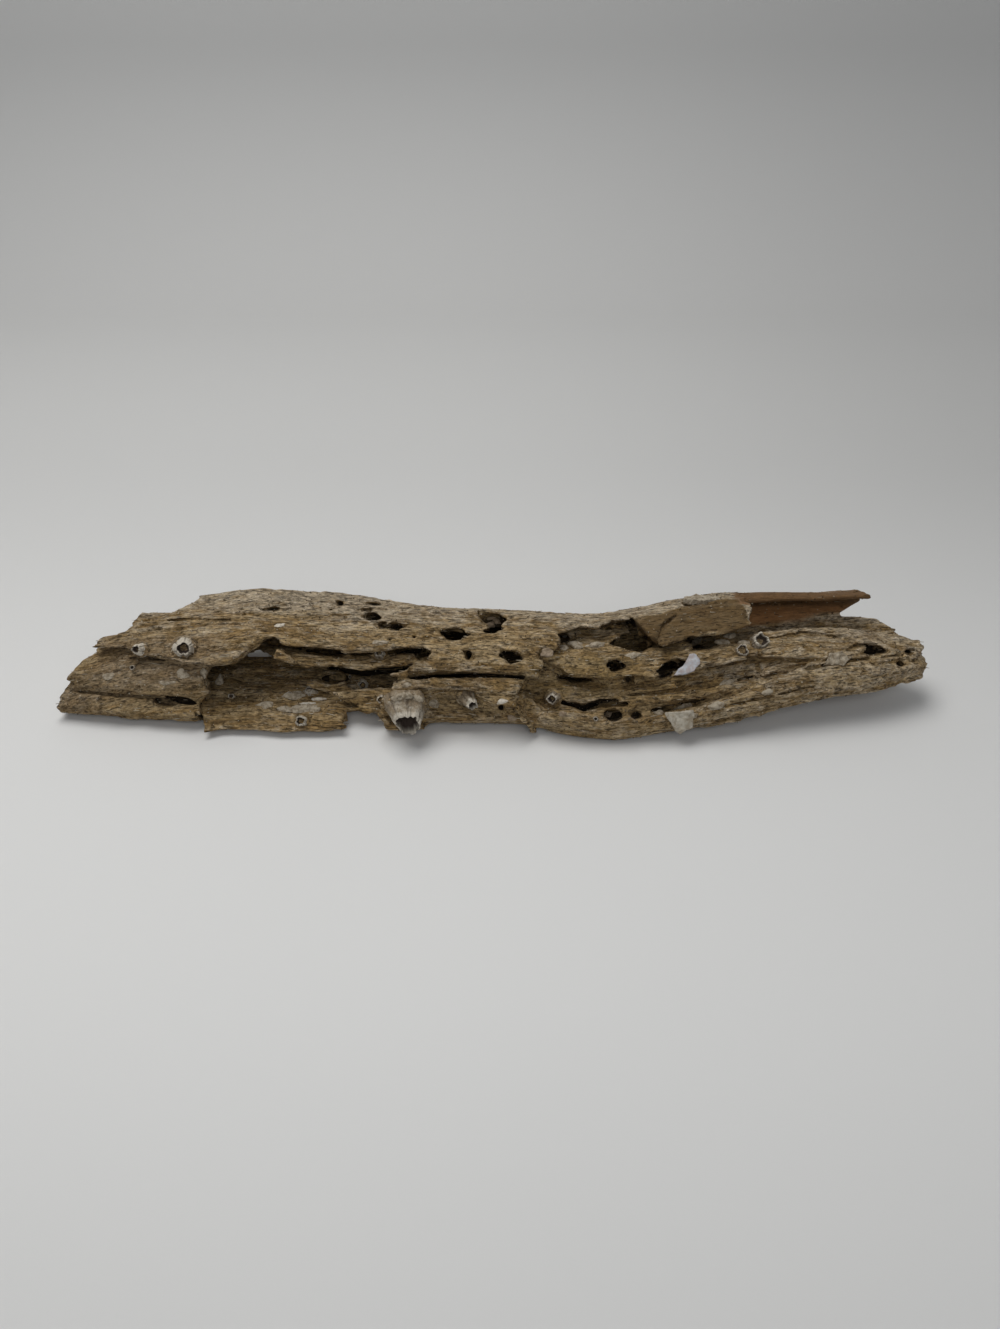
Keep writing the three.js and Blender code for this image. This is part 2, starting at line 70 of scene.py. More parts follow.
class Grain(Enum):
    """How noise is stretched over the wood: the size of its cells in mm along, across and up."""

    SWELL = (34.0, 12.0, 12.0)
    RIDGE = (52.0, 4.6, 4.6)
    FIBRE = (20.0, 2.3, 2.3)
    SPLINTER = (70.0, 2.6, 2.6)
    STEP = (60.0, 8.0, 8.0)
    WOBBLE = (9.0, 5.0, 5.0)
    CRUMB = (3.0, 2.2, 2.2)


@dataclass(frozen=True)
class Hole:
    """A shipworm bore or rot pit: an ellipse on the drawing plane, cut square to it."""

    at: Point
    size: Point
    depth: float
    turn: float = 0.0


@dataclass(frozen=True)
class Crack:
    """A slot along a path on the drawing plane, wide in the middle and narrow at its ends."""

    path: tuple[Point, ...]
    width: float
    depth: float


@dataclass(frozen=True)
class Pocket:
    """A place where a layer has rotted away: its outline on the drawing plane and its depth.

    A ramp, where it has one, gives places along the log and how far the floor rises there above the
    surface at the first of them.
    """

    outline: tuple[Point, ...]
    depth: float
    ramp: tuple[Point, ...] = ()


@dataclass(frozen=True)
class Plate:
    """A layer that stands proud of the wood: its outline, how far it is lifted and its thickness."""

    outline: tuple[Point, ...]
    lift: float
    thick: float


HOLES = (
    Hole((-76, 39), (3.4, 2.8), 7),
    Hole((-107, 36), (8, 1.8), 5, 6),
    Hole((-79, 35.5), (4, 1.4), 4),
    Hole((-60, 38.5), (8, 1.7), 5, -8),
    Hole((-63, 35.6), (7, 1.8), 5),
    Hole((-60, 31.6), (8, 4.4), 10),
    Hole((-48, 27.2), (8, 3.6), 9, -12),
    Hole((-55.5, 21.9), (1.8, 1.6), 4),
    Hole((-50, 21), (2, 1.6), 4),
    Hole((-39, 22), (2.6, 1.8), 4),
    Hole((-19.5, 23.7), (11, 5), 12, 8),
    Hole((-4, 29.5), (12.5, 9.5), 7),
    Hole((-14, 13.8), (3.4, 3.8), 9),
    Hole((-33.5, 15.2), (7, 4.4), 12, -10),
    Hole((6, 13.4), (9, 4.6), 10, -15),
    Hole((29, 22.5), (6, 4), 5, -20),
    Hole((61.5, 19.8), (14, 8), 13, -8),
    Hole((90, 20.4), (13, 4.6), 10, 8),
    Hole((51, 9.2), (6.6, 5.2), 12),
    Hole((76.5, 7.8), (12, 6.4), 10, 22),
    Hole((58.5, 3), (4, 3), 5, -40),
    Hole((61.6, -13.2), (5, 4), 6),
    Hole((50, -13), (7, 4.6), 6),
    Hole((173, 17), (10, 5.6), 9, -8),
    Hole((191, 16), (3.4, 1.8), 5, -8),
    Hole((184, 10.5), (3.6, 2.6), 4),
    Hole((0.5, -9.8), (3, 3), 7),
    Hole((-131, 17.6), (9, 1.5), 5),
    Hole((-79, 2.6), (9, 4), 7),
    Hole((97, 38.5), (2.8, 2), 4),
)

CRACKS = (
    Crack(((-109, 19), (-103, 20), (-97, 18)), 4.0, 12),
    Crack(((-96, 17), (-86, 16.2), (-72, 16)), 2.6, 12),
    Crack(((-86, 8.6), (-72, 7), (-63, 5.4), (-54, 7), (-42, 8.4)), 3.0, 14),
    Crack(((-51, 15), (-44, 16.3), (-36, 16.6)), 2.0, 9),
    Crack(((-40, 3.6), (-30, 4.2), (-14, 4.9), (2, 4.7), (11, 3.6)), 1.6, 10),
    Crack(((-153, -5), (-145, -6.8), (-137, -8.4)), 3.0, 8),
    Crack(((-139, -11), (-136, -15), (-136, -18)), 1.8, 6),
    Crack(((27, -7), (33, -8.6), (38, -10), (45, -6.8), (55, -6)), 2.6, 8),
    Crack(((87, -6.5), (98, -1.5), (108, 2.8), (120, 5.5), (131, 6.5)), 2.6, 4),
    Crack(((158, 16), (166, 18.5), (172, 19.6)), 1.4, 5),
    Crack(((99, 46), (91, 39.5), (86, 35), (80, 31.4), (75, 28), (72.6, 24), (71, 20)), 2.1, 1.8),
    Crack(((46, 27), (53, 29), (60, 30)), 1.8, 6),
    Crack(((112, 26), (120, 28.5), (128, 30.5)), 1.8, 5),
    Crack(((61, 31), (62.4, 26), (63, 20)), 3.0, 9),
    Crack(((-196, -2.4), (-176, -4.2), (-153, -5)), 1.3, 2.2),
    Crack(((58, -4), (70, -3.2), (84, -1.4), (97, 3)), 1.6, 3),
    Crack(((98, -9.4), (118, -5), (141, 0)), 1.3, 2.2),
    Crack(((66, -10.4), (82, -8), (97, -5.4)), 1.5, 2.6),
    Crack(((131, 6.5), (150, 10), (170, 13), (186, 14)), 1.4, 2.2),
    Crack(((122, 21), (142, 24), (164, 21.6)), 1.8, 2.6),
    Crack(((-166, 30), (-140, 30.6), (-116, 30)), 1.2, 1.8),
    Crack(((-120, 33), (-92, 31), (-70, 33)), 1.2, 1.8),
    Crack(((-30, 36), (-2, 35.4), (26, 36.6)), 1.2, 1.8),
    Crack(((-176, 12.4), (-158, 13), (-144, 11.4)), 1.8, 3),
    Crack(((86, 16.4), (94, 17.6), (102, 20)), 1.6, 6),
    Crack(((92, -17), (110, -13), (128, -9)), 1.2, 3),
    Crack(((168, -2), (174, -0.6), (180, 0)), 1.6, 4),
)

POCKETS = (
    Pocket(((-152, 22), (-146, 24.5), (-138, 22), (-135, 17), (-141, 13), (-150, 14)), 2.6),
    Pocket(((-34, -5), (-30, -3), (-20, -1.6), (-11, -2.2), (-5, -7), (2, -12), (-4, -14), (-18, -13),
            (-32, -12)), 3.4),
    Pocket(((12, -3), (18, -1), (24, -8), (20, -14), (14, -18), (10, -14), (10, -8)), 3.0),
    Pocket(((24, 8), (34, 3.5), (44, 4.4), (46, 0), (36, -2), (27, 1)), 2.4),
    Pocket(((88, 1), (100, 5), (112, 7.5), (116, 4), (104, -1), (92, -6), (82, -6)), 2.6),
    Pocket(((60, -7), (76, -6), (92, -9), (90, -13), (70, -13), (58, -11)), 1.8),
    Pocket(((111, 3.5), (111, 13.8), (118, 14.2), (128, 14.8), (140, 15.6), (152, 16), (158, 14.5),
            (146, 11.4), (134, 7.8), (124, 4.8), (118, 3)), 0,
           ((112, 0), (117, 0.3), (126, 2.8), (138, 5.4), (156, 7.4))),
    Pocket(((96, 22), (108, 24), (118, 28), (130, 31), (128, 27), (112, 21), (100, 19)), 2.2),
    Pocket(((-126, 6), (-112, 8), (-96, 4), (-104, -2), (-124, 0)), 1.8),
    Pocket(((-190, 12), (-176, 17), (-168, 15), (-178, 9), (-188, 6)), 2.0),
    Pocket(((-156, 22), (-150, 26), (-140, 25.6), (-134, 22), (-128, 20), (-130, 15), (-140, 11.6),
            (-150, 12), (-155, 16)), 1.9),
)

PLATES = (
    Plate(((62, 27), (64, 21.5), (68, 18), (75, 18.5), (85, 21.5), (96, 25), (108, 22.6), (113, 25),
           (114.5, 33), (112.5, 40), (106, 41), (92, 38.5), (74, 33), (60, 30.5)), 1.6, 2.4),
    Plate(((-160, 14.5), (-150, 12), (-138, 9.6), (-126, 9.4), (-118, 12), (-113.5, 16.4), (-117, 18),
           (-128, 15), (-142, 14)), 1.8, 2.2),
    Plate(((-73, 12.4), (-66, 10), (-56, 8.6), (-46, 10), (-38, 13.4), (-42, 15), (-56, 14),
           (-68, 14.4)), 1.4, 2.2),
    Plate(((-90, 1), (-80, -4), (-70, -9), (-60, -12.6), (-53, -12), (-57, -7), (-66, -2),
           (-76, 3)), 1.2, 2.0),
    Plate(((-63, 4.6), (-56, 4), (-48, 0.6), (-54, -0.4), (-62, 2.4)), 1.2, 2.0),
    Plate(((25, 9.8), (30, 5), (37, 4), (46, 5.4), (54, 6), (54, 8), (40, 8), (30, 10.4)), 1.2, 2.0),
    Plate(((-20, -2), (-8, -3.4), (2, -8.4), (8, -11), (9, -8.6), (1, -5), (-8, -1)), 1.2, 1.8),
    Plate(((28, 24), (33, 26), (43, 26.6), (51, 26), (54, 22), (49, 18), (37, 16), (29, 18)), 2.4, 4.4),
    Plate(((-118, 7), (-108, 12), (-96, 14), (-84, 12.6), (-78, 9), (-88, 5), (-104, 3)), 2.6, 4.0),
)


@dataclass(frozen=True)
class Spine:
    """The log's bent middle line, which the grain follows."""

    along: tuple[float, ...] = (-208, -160, -115, -75, -30, 10, 45, 75, 105, 140, 198)
    across: tuple[float, ...] = (-8, -4, -2, -5, -9, -11, -14, -10, -3, 0, 3)
    up: tuple[float, ...] = (10, 19, 20, 20, 20, 19, 19, 20, 22, 25, 28)

    def offset(self, x: np.ndarray | float) -> tuple[np.ndarray, np.ndarray]:
        """Finds the middle line.

        Args:
            x: places along the log in drawing mm.

        Returns:
            The middle line's place across and up.
        """
        return np.interp(x, self.along, self.across), np.interp(x, self.along, self.up)


SPINE = Spine()


class Noise:
    """Smooth random values on a lattice that repeats, stretched along the grain."""

    CELLS = 64

    def __init__(self, grain: Grain, seed: int) -> None:
        """Fills the lattice.

        Args:
            grain: how the noise is stretched.
            seed: the fixed seed of its values.
        """
        self.cell = np.array(grain.value)
        self.values = np.random.default_rng(seed).uniform(-1, 1, (self.CELLS,) * 3).astype(np.float32)

    @staticmethod
    def _split(coords: np.ndarray) -> tuple[np.ndarray, np.ndarray]:
        """Splits lattice coordinates into whole cells and eased shares.

        Args:
            coords: coordinates, counted in cells.

        Returns:
            The cells and the shares within them.
        """
        whole = np.floor(coords)
        part = coords - whole
        return whole.astype(np.int64), (part * part * (3 - 2 * part)).astype(np.float32)

    def sheet(self, x: float, across: np.ndarray, up: np.ndarray) -> np.ndarray:
        """Evaluates one cross-section of the log.

        Args:
            x: the cross-section's place along the log in mm.
            across: places across the log.
            up: heights.

        Returns:
            Values for each place across and each height.
        """
        n = self.CELLS
        i, s = self._split(np.array(x / self.cell[0]))
        plane = self.values[int(i) % n] * (1 - s) + self.values[(int(i) + 1) % n] * s
        j, t = self._split(across / self.cell[1])
        rows = plane[j % n] * (1 - t)[:, None] + plane[(j + 1) % n] * t[:, None]
        k, u = self._split(up / self.cell[2])
        return rows[:, k % n] * (1 - u) + rows[:, (k + 1) % n] * u

    def at(self, points: np.ndarray) -> np.ndarray:
        """Evaluates loose points.

        Args:
            points: places in mm, one in each row.

        Returns:
            One value for each point.
        """
        n = self.CELLS
        whole, part = self._split(points / self.cell)
        total = np.zeros(len(points), np.float32)
        for corner in np.ndindex(2, 2, 2):
            share = np.ones(len(points), np.float32)
            for axis in range(3):
                share = share * (part[:, axis] if corner[axis] else 1 - part[:, axis])
            cell = (whole + corner) % n
            total += share * self.values[cell[:, 0], cell[:, 1], cell[:, 2]]
        return total


@dataclass
class Raster:
    """A flat grid of points on the drawing plane, in mm."""

    x: np.ndarray
    low: float = -40.0
    high: float = 62.0
    step: float = 0.5

    def __post_init__(self) -> None:
        """Lays out the rows."""
        self.rise = np.arange(self.low, self.high, self.step)

    def window(self, points: np.ndarray, margin: float) -> tuple[slice, slice]:
        """Finds the part of the raster around some points.

        Args:
            points: places on the drawing plane, one in each row.
            margin: how far past them it reaches.

        Returns:
            The slices along the log and up the slope.
        """
        low, high = points.min(0) - margin, points.max(0) + margin
        first = np.searchsorted(self.x, low[0])
        last = np.searchsorted(self.x, high[0])
        bottom = max(0, int((low[1] - self.low) / self.step))
        top = min(len(self.rise), int((high[1] - self.low) / self.step) + 2)
        return slice(first, last), slice(bottom, top)

    def mesh(self, window: tuple[slice, slice]) -> tuple[np.ndarray, np.ndarray]:
        """Gives the coordinates of a window's points."""
        return np.meshgrid(self.x[window[0]], self.rise[window[1]], indexing="ij")


def outline_distance(outline: tuple[Point, ...], x: np.ndarray, rise: np.ndarray) -> np.ndarray:
    """Measures the distance to a closed outline, negative inside.

    Args:
        outline: the outline's corners.
        x: places along the log.
        rise: places up the slope.

    Returns:
        The signed distance at each place.
    """
    corners = np.array(outline, float)
    nearest = np.full(x.shape, 1e9)
    inside = np.zeros(x.shape, bool)
    for a, b in zip(corners, np.roll(corners, -1, 0)):
        edge = b - a
        share = ((x - a[0]) * edge[0] + (rise - a[1]) * edge[1]) / (edge @ edge)
        share = np.clip(share, 0, 1)
        gap = np.hypot(x - a[0] - share * edge[0], rise - a[1] - share * edge[1])
        nearest = np.minimum(nearest, gap)
        if a[1] != b[1]:
            crossing = (a[1] > rise) != (b[1] > rise)
            inside ^= crossing & (x < a[0] + (rise - a[1]) * edge[0] / edge[1])
    return np.where(inside, -nearest, nearest)


def ramp(values: np.ndarray, span: Point) -> np.ndarray:
    """Runs straight from 0 at a span's first value to 1 at its last, held outside.

    Args:
        values: numbers.
        span: the first value and the last.

    Returns:
        The share of each number.
    """
    return np.clip((values - span[0]) / (span[1] - span[0]), 0, 1)


def blended(sheets: dict[Grain, np.ndarray], shares: dict[Grain, float]) -> np.ndarray:
    """Adds up noises.

    Args:
        sheets: the noise of each grain.
        shares: how many mm of each are added.

    Returns:
        The sum in mm.
    """
    return sum(share * sheets[grain] for grain, share in shares.items())


def rounded_max(a: np.ndarray, b: np.ndarray, width: float) -> np.ndarray:
    """Takes the larger of two fields, rounded where they meet.

    Args:
        a: a field.
        b: another field.
        width: how wide the rounding is.

    Returns:
        The joined field.
    """
    share = np.clip(0.5 + 0.5 * (a - b) / width, 0, 1)
    return share * a + (1 - share) * b + width * share * (1 - share)


@dataclass
class WoodField:
    """The wood as a field of distances on a grid: negative inside, in drawing mm."""

    solid: bpy.types.Object
    step: float
    coarse_step: float
    pad: float = 5.0
    wall_reach: float = 3.0
    wall_thin: float = 1.0
    ray_nudge: float = 0.0137
    flattest: float = 1e-12
    last_cell: float = 1.001
    levels: tuple[float, ...] = (-50.0, 56.0, 1.0)
    outside: float = 9.0
    coarse: np.ndarray = field(init=False)
    coarse_low: np.ndarray = field(init=False)
    thin: np.ndarray = field(init=False)

    def __post_init__(self) -> None:
        """Reads the solid's triangles and lays out the grid."""
        mesh = self.solid.data
        points = np.empty(len(mesh.vertices) * 3)
        mesh.vertices.foreach_get("co", points)
        self.points = points.reshape(-1, 3) / MM - DRAWING_ZERO
        mesh.calc_loop_triangles()
        corners = np.empty(len(mesh.loop_triangles) * 3, np.int32)
        mesh.loop_triangles.foreach_get("vertices", corners)
        self.triangles = corners.reshape(-1, 3)
        low = self.points.min(0) - self.pad
        high = self.points.max(0) + self.pad
        self.low = low
        self.axes = [np.arange(low[k], high[k], self.step) for k in range(3)]
        self.raster = Raster(self.axes[0])
        y, z = np.meshgrid(self.axes[1], self.axes[2], indexing="ij")
        self.rise = y * SLOPE_UP[1] + z * SLOPE_UP[2]
        self.out = y * SLOPE_OUT[1] + z * SLOPE_OUT[2]

    def measure(self) -> None:
        """Fills the coarse grid with the distance to the solid."""
        low = self.low - 2 * self.coarse_step
        high = self.points.max(0) + self.pad + 2 * self.coarse_step
        axes = [np.arange(low[k], high[k], self.coarse_step) for k in range(3)]
        self.coarse_low = low
        inside = self._inside(axes)
        tree = BVHTree.FromPolygons(self.points.tolist(), self.triangles.tolist())
        grid = np.stack(np.meshgrid(*axes, indexing="ij"), -1).reshape(-1, 3).tolist()
        find = tree.find_nearest
        gaps = np.array([find(point)[3] for point in grid], np.float32)
        self.coarse = np.where(inside, -1, 1).astype(np.float32) * gaps.reshape(inside.shape)
        depth = np.maximum(-self.coarse, 0)
        reach = max(1, round(self.wall_reach / self.coarse_step))
        for axis in range(3):
            depth = np.max([np.roll(depth, k, axis) for k in range(-reach, reach + 1)], axis=0)
        self.thin = 1 - np.clip((depth - self.wall_thin) / self.wall_thin, 0, 1)

    def _inside(self, axes: list[np.ndarray]) -> np.ndarray:
        """Counts the crossings below each coarse point.

        Args:
            axes: the coarse grid's coordinates.

        Returns:
            True for each point inside the solid.
        """
        flips = np.zeros([len(a) for a in axes], np.int32)
        nudge = self.ray_nudge * self.coarse_step
        for triangle in self.points[self.triangles]:
            ends = np.stack([triangle.min(0), triangle.max(0)], 1) - nudge
            i, j = (np.arange(*np.searchsorted(axes[k], ends[k])) for k in (0, 1))
            if not len(i) or not len(j):
                continue
            a, b, c = triangle
            turn = (b[0] - a[0]) * (c[1] - a[1]) - (c[0] - a[0]) * (b[1] - a[1])
            if abs(turn) < self.flattest:
                continue
            px = axes[0][i][:, None] + nudge - a[0]
            py = axes[1][j][None, :] + nudge - a[1]
            s = (px * (c[1] - a[1]) - (c[0] - a[0]) * py) / turn
            t = ((b[0] - a[0]) * py - px * (b[1] - a[1])) / turn
            hit = (s >= 0) & (t >= 0) & (s + t <= 1)
            height = (a[2] + s * (b[2] - a[2]) + t * (c[2] - a[2]))[hit]
            rows, columns = np.nonzero(hit)
            levels = np.searchsorted(axes[2], height)
            good = levels < len(axes[2])
            np.add.at(flips, (i[rows[good]], j[columns[good]], levels[good]), 1)
        return np.cumsum(flips, axis=2) % 2 == 1

    def sample(self, values: np.ndarray, low: np.ndarray, step: float,
               points: list[np.ndarray]) -> np.ndarray:
        """Reads a grid between its points.

        Args:
            values: the grid's values.
            low: the grid's lowest corner.
            step: the grid's spacing.
            points: coordinates along the three axes, as arrays of one shape.

        Returns:
            A value for each place.
        """
        whole, part = [], []
        for axis in range(3):
            place = np.clip((points[axis] - low[axis]) / step, 0, values.shape[axis] - self.last_cell)
            cell = place.astype(np.int32)
            whole.append(cell)
            part.append((place - cell).astype(np.float32))
        total = 0.0
        for corner in np.ndindex(2, 2, 2):
            share = 1.0
            for axis in range(3):
                share = share * (part[axis] if corner[axis] else 1 - part[axis])
            total = total + share * values[tuple(cell + c for cell, c in zip(whole, corner))]
        return total

    def first_level(self, way: int) -> np.ndarray:
        """Finds how far out the first surface is, seen square to the drawing plane.

        Args:
            way: -1 to look from the front, or 1 to look from the back.

        Returns:
            The level in mm at each raster point, or NOTHING.
        """
        x, rise = np.meshgrid(self.raster.x, self.raster.rise, indexing="ij")
        level = np.full(x.shape, NOTHING)
        before = np.full(x.shape, self.outside)
        for out in np.arange(*self.levels)[::way]:
            y = rise * SLOPE_UP[1] + out * SLOPE_OUT[1]
            z = rise * SLOPE_UP[2] + out * SLOPE_OUT[2]
            now = self.sample(self.coarse, self.coarse_low, self.coarse_step, [x, y, z])
            now = np.where(z < self.coarse_low[2], self.outside, now)
            met = (now < 0) & (before >= 0) & (level == NOTHING)
            level[met] = out - way * now[met] / (now[met] - before[met])
            before = now
        return level


@dataclass
class Carver:
    """Cuts holes, cracks and pockets into the wood and lays the loose plates on it.

    Sizes are in mm. A wander is how far an edge strays from its drawn line, for each mm of noise.
    """

    wood: WoodField
    ridge_depth: float = 1.05
    ridge_width: float = 0.12
    fibre_depth: float = 0.3
    fibre_width: float = 0.16
    crumb_depth: float = 0.42
    swell_height: float = 0.5
    thin_keeps: float = 0.85
    crack_taper: float = 0.35
    crack_wander: float = 0.2
    crack_wander_most: float = 0.7
    pocket_wander: float = 1.3
    pocket_slope: float = 2.2
    hole_wander: float = 0.28
    plate_wander: float = 1.1
    plate_curl: float = 7.0
    plate_bevel: float = 2.4
    plate_drop: float = 4.0
    plate_climb: float = 6.0
    plate_proud: float = 0.4
    crown: Point = (29.0, 41.0)
    crown_fall: float = 0.9
    plate_join: float = 0.6
    cut_join: float = 0.9
    cut_crumble: float = 0.35
    floor_level: float = 0.02
    nudge_along: tuple[float, ...] = (-205, -134, -126, -62, -54)
    nudge_by: tuple[float, ...] = (1.6, 1.6, -1.8, -1.8, 0)
    nudge_below: Point = (8.0, 16.0)
    wall_gain: float = 0.5
    back_wall: float = 4.5
    margin: float = 6.0
    pit_count: int = 620
    pit_along: Point = (0.7, 3.0)
    pit_across: Point = (0.45, 1.0)
    pit_depth: float = 1.3
    pit_lowest: float = 1.5
    seat_depth: float = 1.5
    seat_wide: float = 0.3
    seat_sunk: float = 0.2
    # How deep a bore or crack must sink, and how far below the surface a place must lie, for painted shade
    # inside it.
    painted_shade_depth: Point = (4.0, 7.0)
    painted_shade_below: Point = (2.0, 5.5)
    seed: int = 11

    SLIDE = {Grain.SPLINTER: 1.1, Grain.STEP: 1.3, Grain.CRUMB: 0.8}
    SWAY = {Grain.SWELL: 1.0, Grain.WOBBLE: 0.5}
    EDGE = {Grain.WOBBLE: (1.0, (1, 1.6, 1)), Grain.CRUMB: (0.7, (0.6, 1.6, 1))}

    def __post_init__(self) -> None:
        """Makes the noises, one seed after the other."""
        self.noise = {grain: Noise(grain, self.seed + k) for k, grain in enumerate(Grain)}
        self.second = {grain: Noise(grain, self.seed + 50 + k) for k, grain in enumerate(Grain)}
        self.raster = self.wood.raster
        x, rise = np.meshgrid(self.raster.x, self.raster.rise, indexing="ij")
        flat = np.stack([x.ravel(), rise.ravel(), np.zeros(x.size)], 1)
        wander = sum(share * self.noise[g].at(flat * cells) for g, (share, cells) in self.EDGE.items())
        self.edge = wander.reshape(x.shape)

    def crack_distance(self, crack: Crack, x: np.ndarray, rise: np.ndarray) -> np.ndarray:
        """Measures the distance to a crack's side, negative inside it.

        Args:
            crack: the crack.
            x: places along the log.
            rise: places up the slope.

        Returns:
            The signed distance at each place.
        """
        points = np.array(crack.path, float)
        lengths = np.hypot(*np.diff(points, axis=0).T)
        total, before = lengths.sum(), 0.0
        nearest = np.full(x.shape, 1e9)
        for a, b, length in zip(points, points[1:], lengths):
            edge = b - a
            share = np.clip(((x - a[0]) * edge[0] + (rise - a[1]) * edge[1]) / length**2, 0, 1)
            gap = np.hypot(x - a[0] - share * edge[0], rise - a[1] - share * edge[1])
            along = (before + share * length) / total
            half = crack.width / 2 * (self.crack_taper + (1 - self.crack_taper) * np.sin(np.pi * along))
            nearest = np.minimum(nearest, gap - half)
            before += length
        return nearest

    def cut_maps(self, level: np.ndarray) -> tuple[np.ndarray, np.ndarray, np.ndarray]:
        """Draws every cutter on the drawing plane.

        Args:
            level: the first surface's level.

        Returns:
            The distance to the nearest cutter's side, the level of its floor, and one where it is a
            bore or crack, whose inside gets painted shade.
        """
        gap = np.full(level.shape, FAR)
        floor = np.full(level.shape, FAR)
        bored = np.zeros(level.shape)

        def lay(window: tuple[slice, slice], side: np.ndarray, bottom: np.ndarray, dark: float) -> None:
            """Keeps a cutter where it is the nearest.

            Args:
                window: the part of the raster around it.
                side: the distance to its side.
                bottom: the level of its floor.
                dark: 1 for a bore or a crack, whose inside gets painted shade, and 0 for an open pocket.
            """
            nearer = side < gap[window]
            for drawing, values in ((bored, dark), (gap, side), (floor, bottom)):
                drawing[window] = np.where(nearer, values, drawing[window])

        for pocket in POCKETS:
            window = self.raster.window(np.array(pocket.outline), self.margin)
            x, rise = self.raster.mesh(window)
            side = outline_distance(pocket.outline, x, rise) + self.pocket_wander * self.edge[window]
            slope = np.clip(-side / self.pocket_slope, 0.15, 1)
            bottom = level[window] - pocket.depth * slope
            if pocket.ramp:
                start = np.searchsorted(self.raster.x, pocket.ramp[0][0])
                bottom = level[start, window[1]][None, :] + np.interp(x, *zip(*pocket.ramp))
            lay(window, side, bottom, 0)
        for crack in CRACKS:
            window = self.raster.window(np.array(crack.path), self.margin)
            x, rise = self.raster.mesh(window)
            wander = min(self.crack_wander * crack.width, self.crack_wander_most)
            side = self.crack_distance(crack, x, rise) + wander * self.edge[window]
            lay(window, side, level[window] - crack.depth, 1)
        for hole in HOLES:
            window = self.raster.window(np.array([hole.at]), max(hole.size))
            x, rise = self.raster.mesh(window)
            turn = math.radians(hole.turn)
            u = (x - hole.at[0]) * math.cos(turn) + (rise - hole.at[1]) * math.sin(turn)
            v = (rise - hole.at[1]) * math.cos(turn) - (x - hole.at[0]) * math.sin(turn)
            share = np.hypot(u / (hole.size[0] / 2), v / (hole.size[1] / 2))
            narrow = min(hole.size)
            side = (share - 1) * narrow / 2 + self.hole_wander * narrow * self.edge[window]
            middle = tuple(s // 2 for s in share.shape)
            bowl = np.sqrt(np.clip(1.1 - share**2, 0.1, 1))
            lay(window, side, level[window][middle] - hole.depth * bowl, 1)
        return gap, floor, bored

    def plate_maps(self, level: np.ndarray) -> tuple[np.ndarray, np.ndarray, np.ndarray]:
        """Draws every loose plate on the drawing plane.

        Args:
            level: the first surface's level.

        Returns:
            The distance to the nearest plate's edge, the level of its middle, and half its thickness.
        """
        edge = np.full(level.shape, FAR)
        middle = np.zeros(level.shape)
        half = np.ones(level.shape)
        for plate in PLATES:
            window = self.raster.window(np.array(plate.outline), self.margin)
            x, rise = self.raster.mesh(window)
            side = outline_distance(plate.outline, x, rise) + self.plate_wander * self.edge[window]
            inner = level[window]
            base = np.median(inner[(side < 0) & (inner > NOTHING)])
            curl = np.clip(1 + side / self.plate_curl, 0, 1) ** 1.5
            fall = self.crown_fall * np.clip(rise - self.crown[0], 0, self.crown[1] - self.crown[0])
            near = np.clip(inner, base - self.plate_drop - fall, base + self.plate_climb)
            height = near - plate.thick / 2 + self.plate_proud + plate.lift * curl
            bevel = plate.thick / 2 * np.clip(-side / self.plate_bevel, 0.5, 1)
            nearer = side < edge[window]
            for drawing, values in ((edge, side), (middle, height), (half, bevel)):
                drawing[window] = np.where(nearer, values, drawing[window])
        return edge, middle, half

    def wear(self, sheet: dict[Grain, np.ndarray], other: dict[Grain, np.ndarray]) -> np.ndarray:
        """Finds how far the weather has eaten into one cross-section.

        Args:
            sheet: the first noises there.
            other: the second noises there.

        Returns:
            The depth that is gone, in mm.
        """
        worn = np.clip(0.55 + 1.3 * other[Grain.STEP], 0.1, 1)
        groove = np.clip(1 - np.abs(sheet[Grain.RIDGE]) / self.ridge_width, 0, 1)
        crease = np.clip(1 - np.abs(other[Grain.FIBRE]) / self.fibre_width, 0, 1)
        crumbly = 0.5 + np.clip(1.6 * sheet[Grain.SWELL], 0, 1.2)
        gone = self.ridge_depth * worn * groove + self.fibre_depth * crease
        gone = gone + self.fibre_depth * sheet[Grain.FIBRE] + self.crumb_depth * crumbly * sheet[Grain.CRUMB]
        return gone - self.swell_height * other[Grain.RIDGE]

    def carve(self) -> np.ndarray:
        """Makes the whole field, one cross-section at a time.

        Returns:
            Distances on the wood's grid.
        """
        wood = self.wood
        wood.measure()
        level = wood.first_level(-1)
        gap, floor, bored = self.cut_maps(level)
        # How deep each bore and crack sinks, which sets the painted shade inside it.
        self.sunk = np.where(gap < 0.6, bored * (level - np.maximum(floor, -50)), 0)
        self.level = level
        floor = np.maximum(floor, wood.first_level(1) + self.back_wall)
        edge, middle, half = self.plate_maps(level)
        place = (wood.rise - self.raster.low) / self.raster.step
        row = np.clip(place.astype(np.int32), 0, len(self.raster.rise) - 2)
        part = (place - row).astype(np.float32)
        y, z = np.meshgrid(wood.axes[1], wood.axes[2], indexing="ij")
        low = ramp(self.nudge_below[1] - z, (0, self.nudge_below[1] - self.nudge_below[0]))
        result = np.empty([len(a) for a in wood.axes], np.float32)

        def read(drawing: np.ndarray, i: int) -> np.ndarray:
            """Reads a drawing along one cross-section."""
            return drawing[i][row] * (1 - part) + drawing[i][row + 1] * part

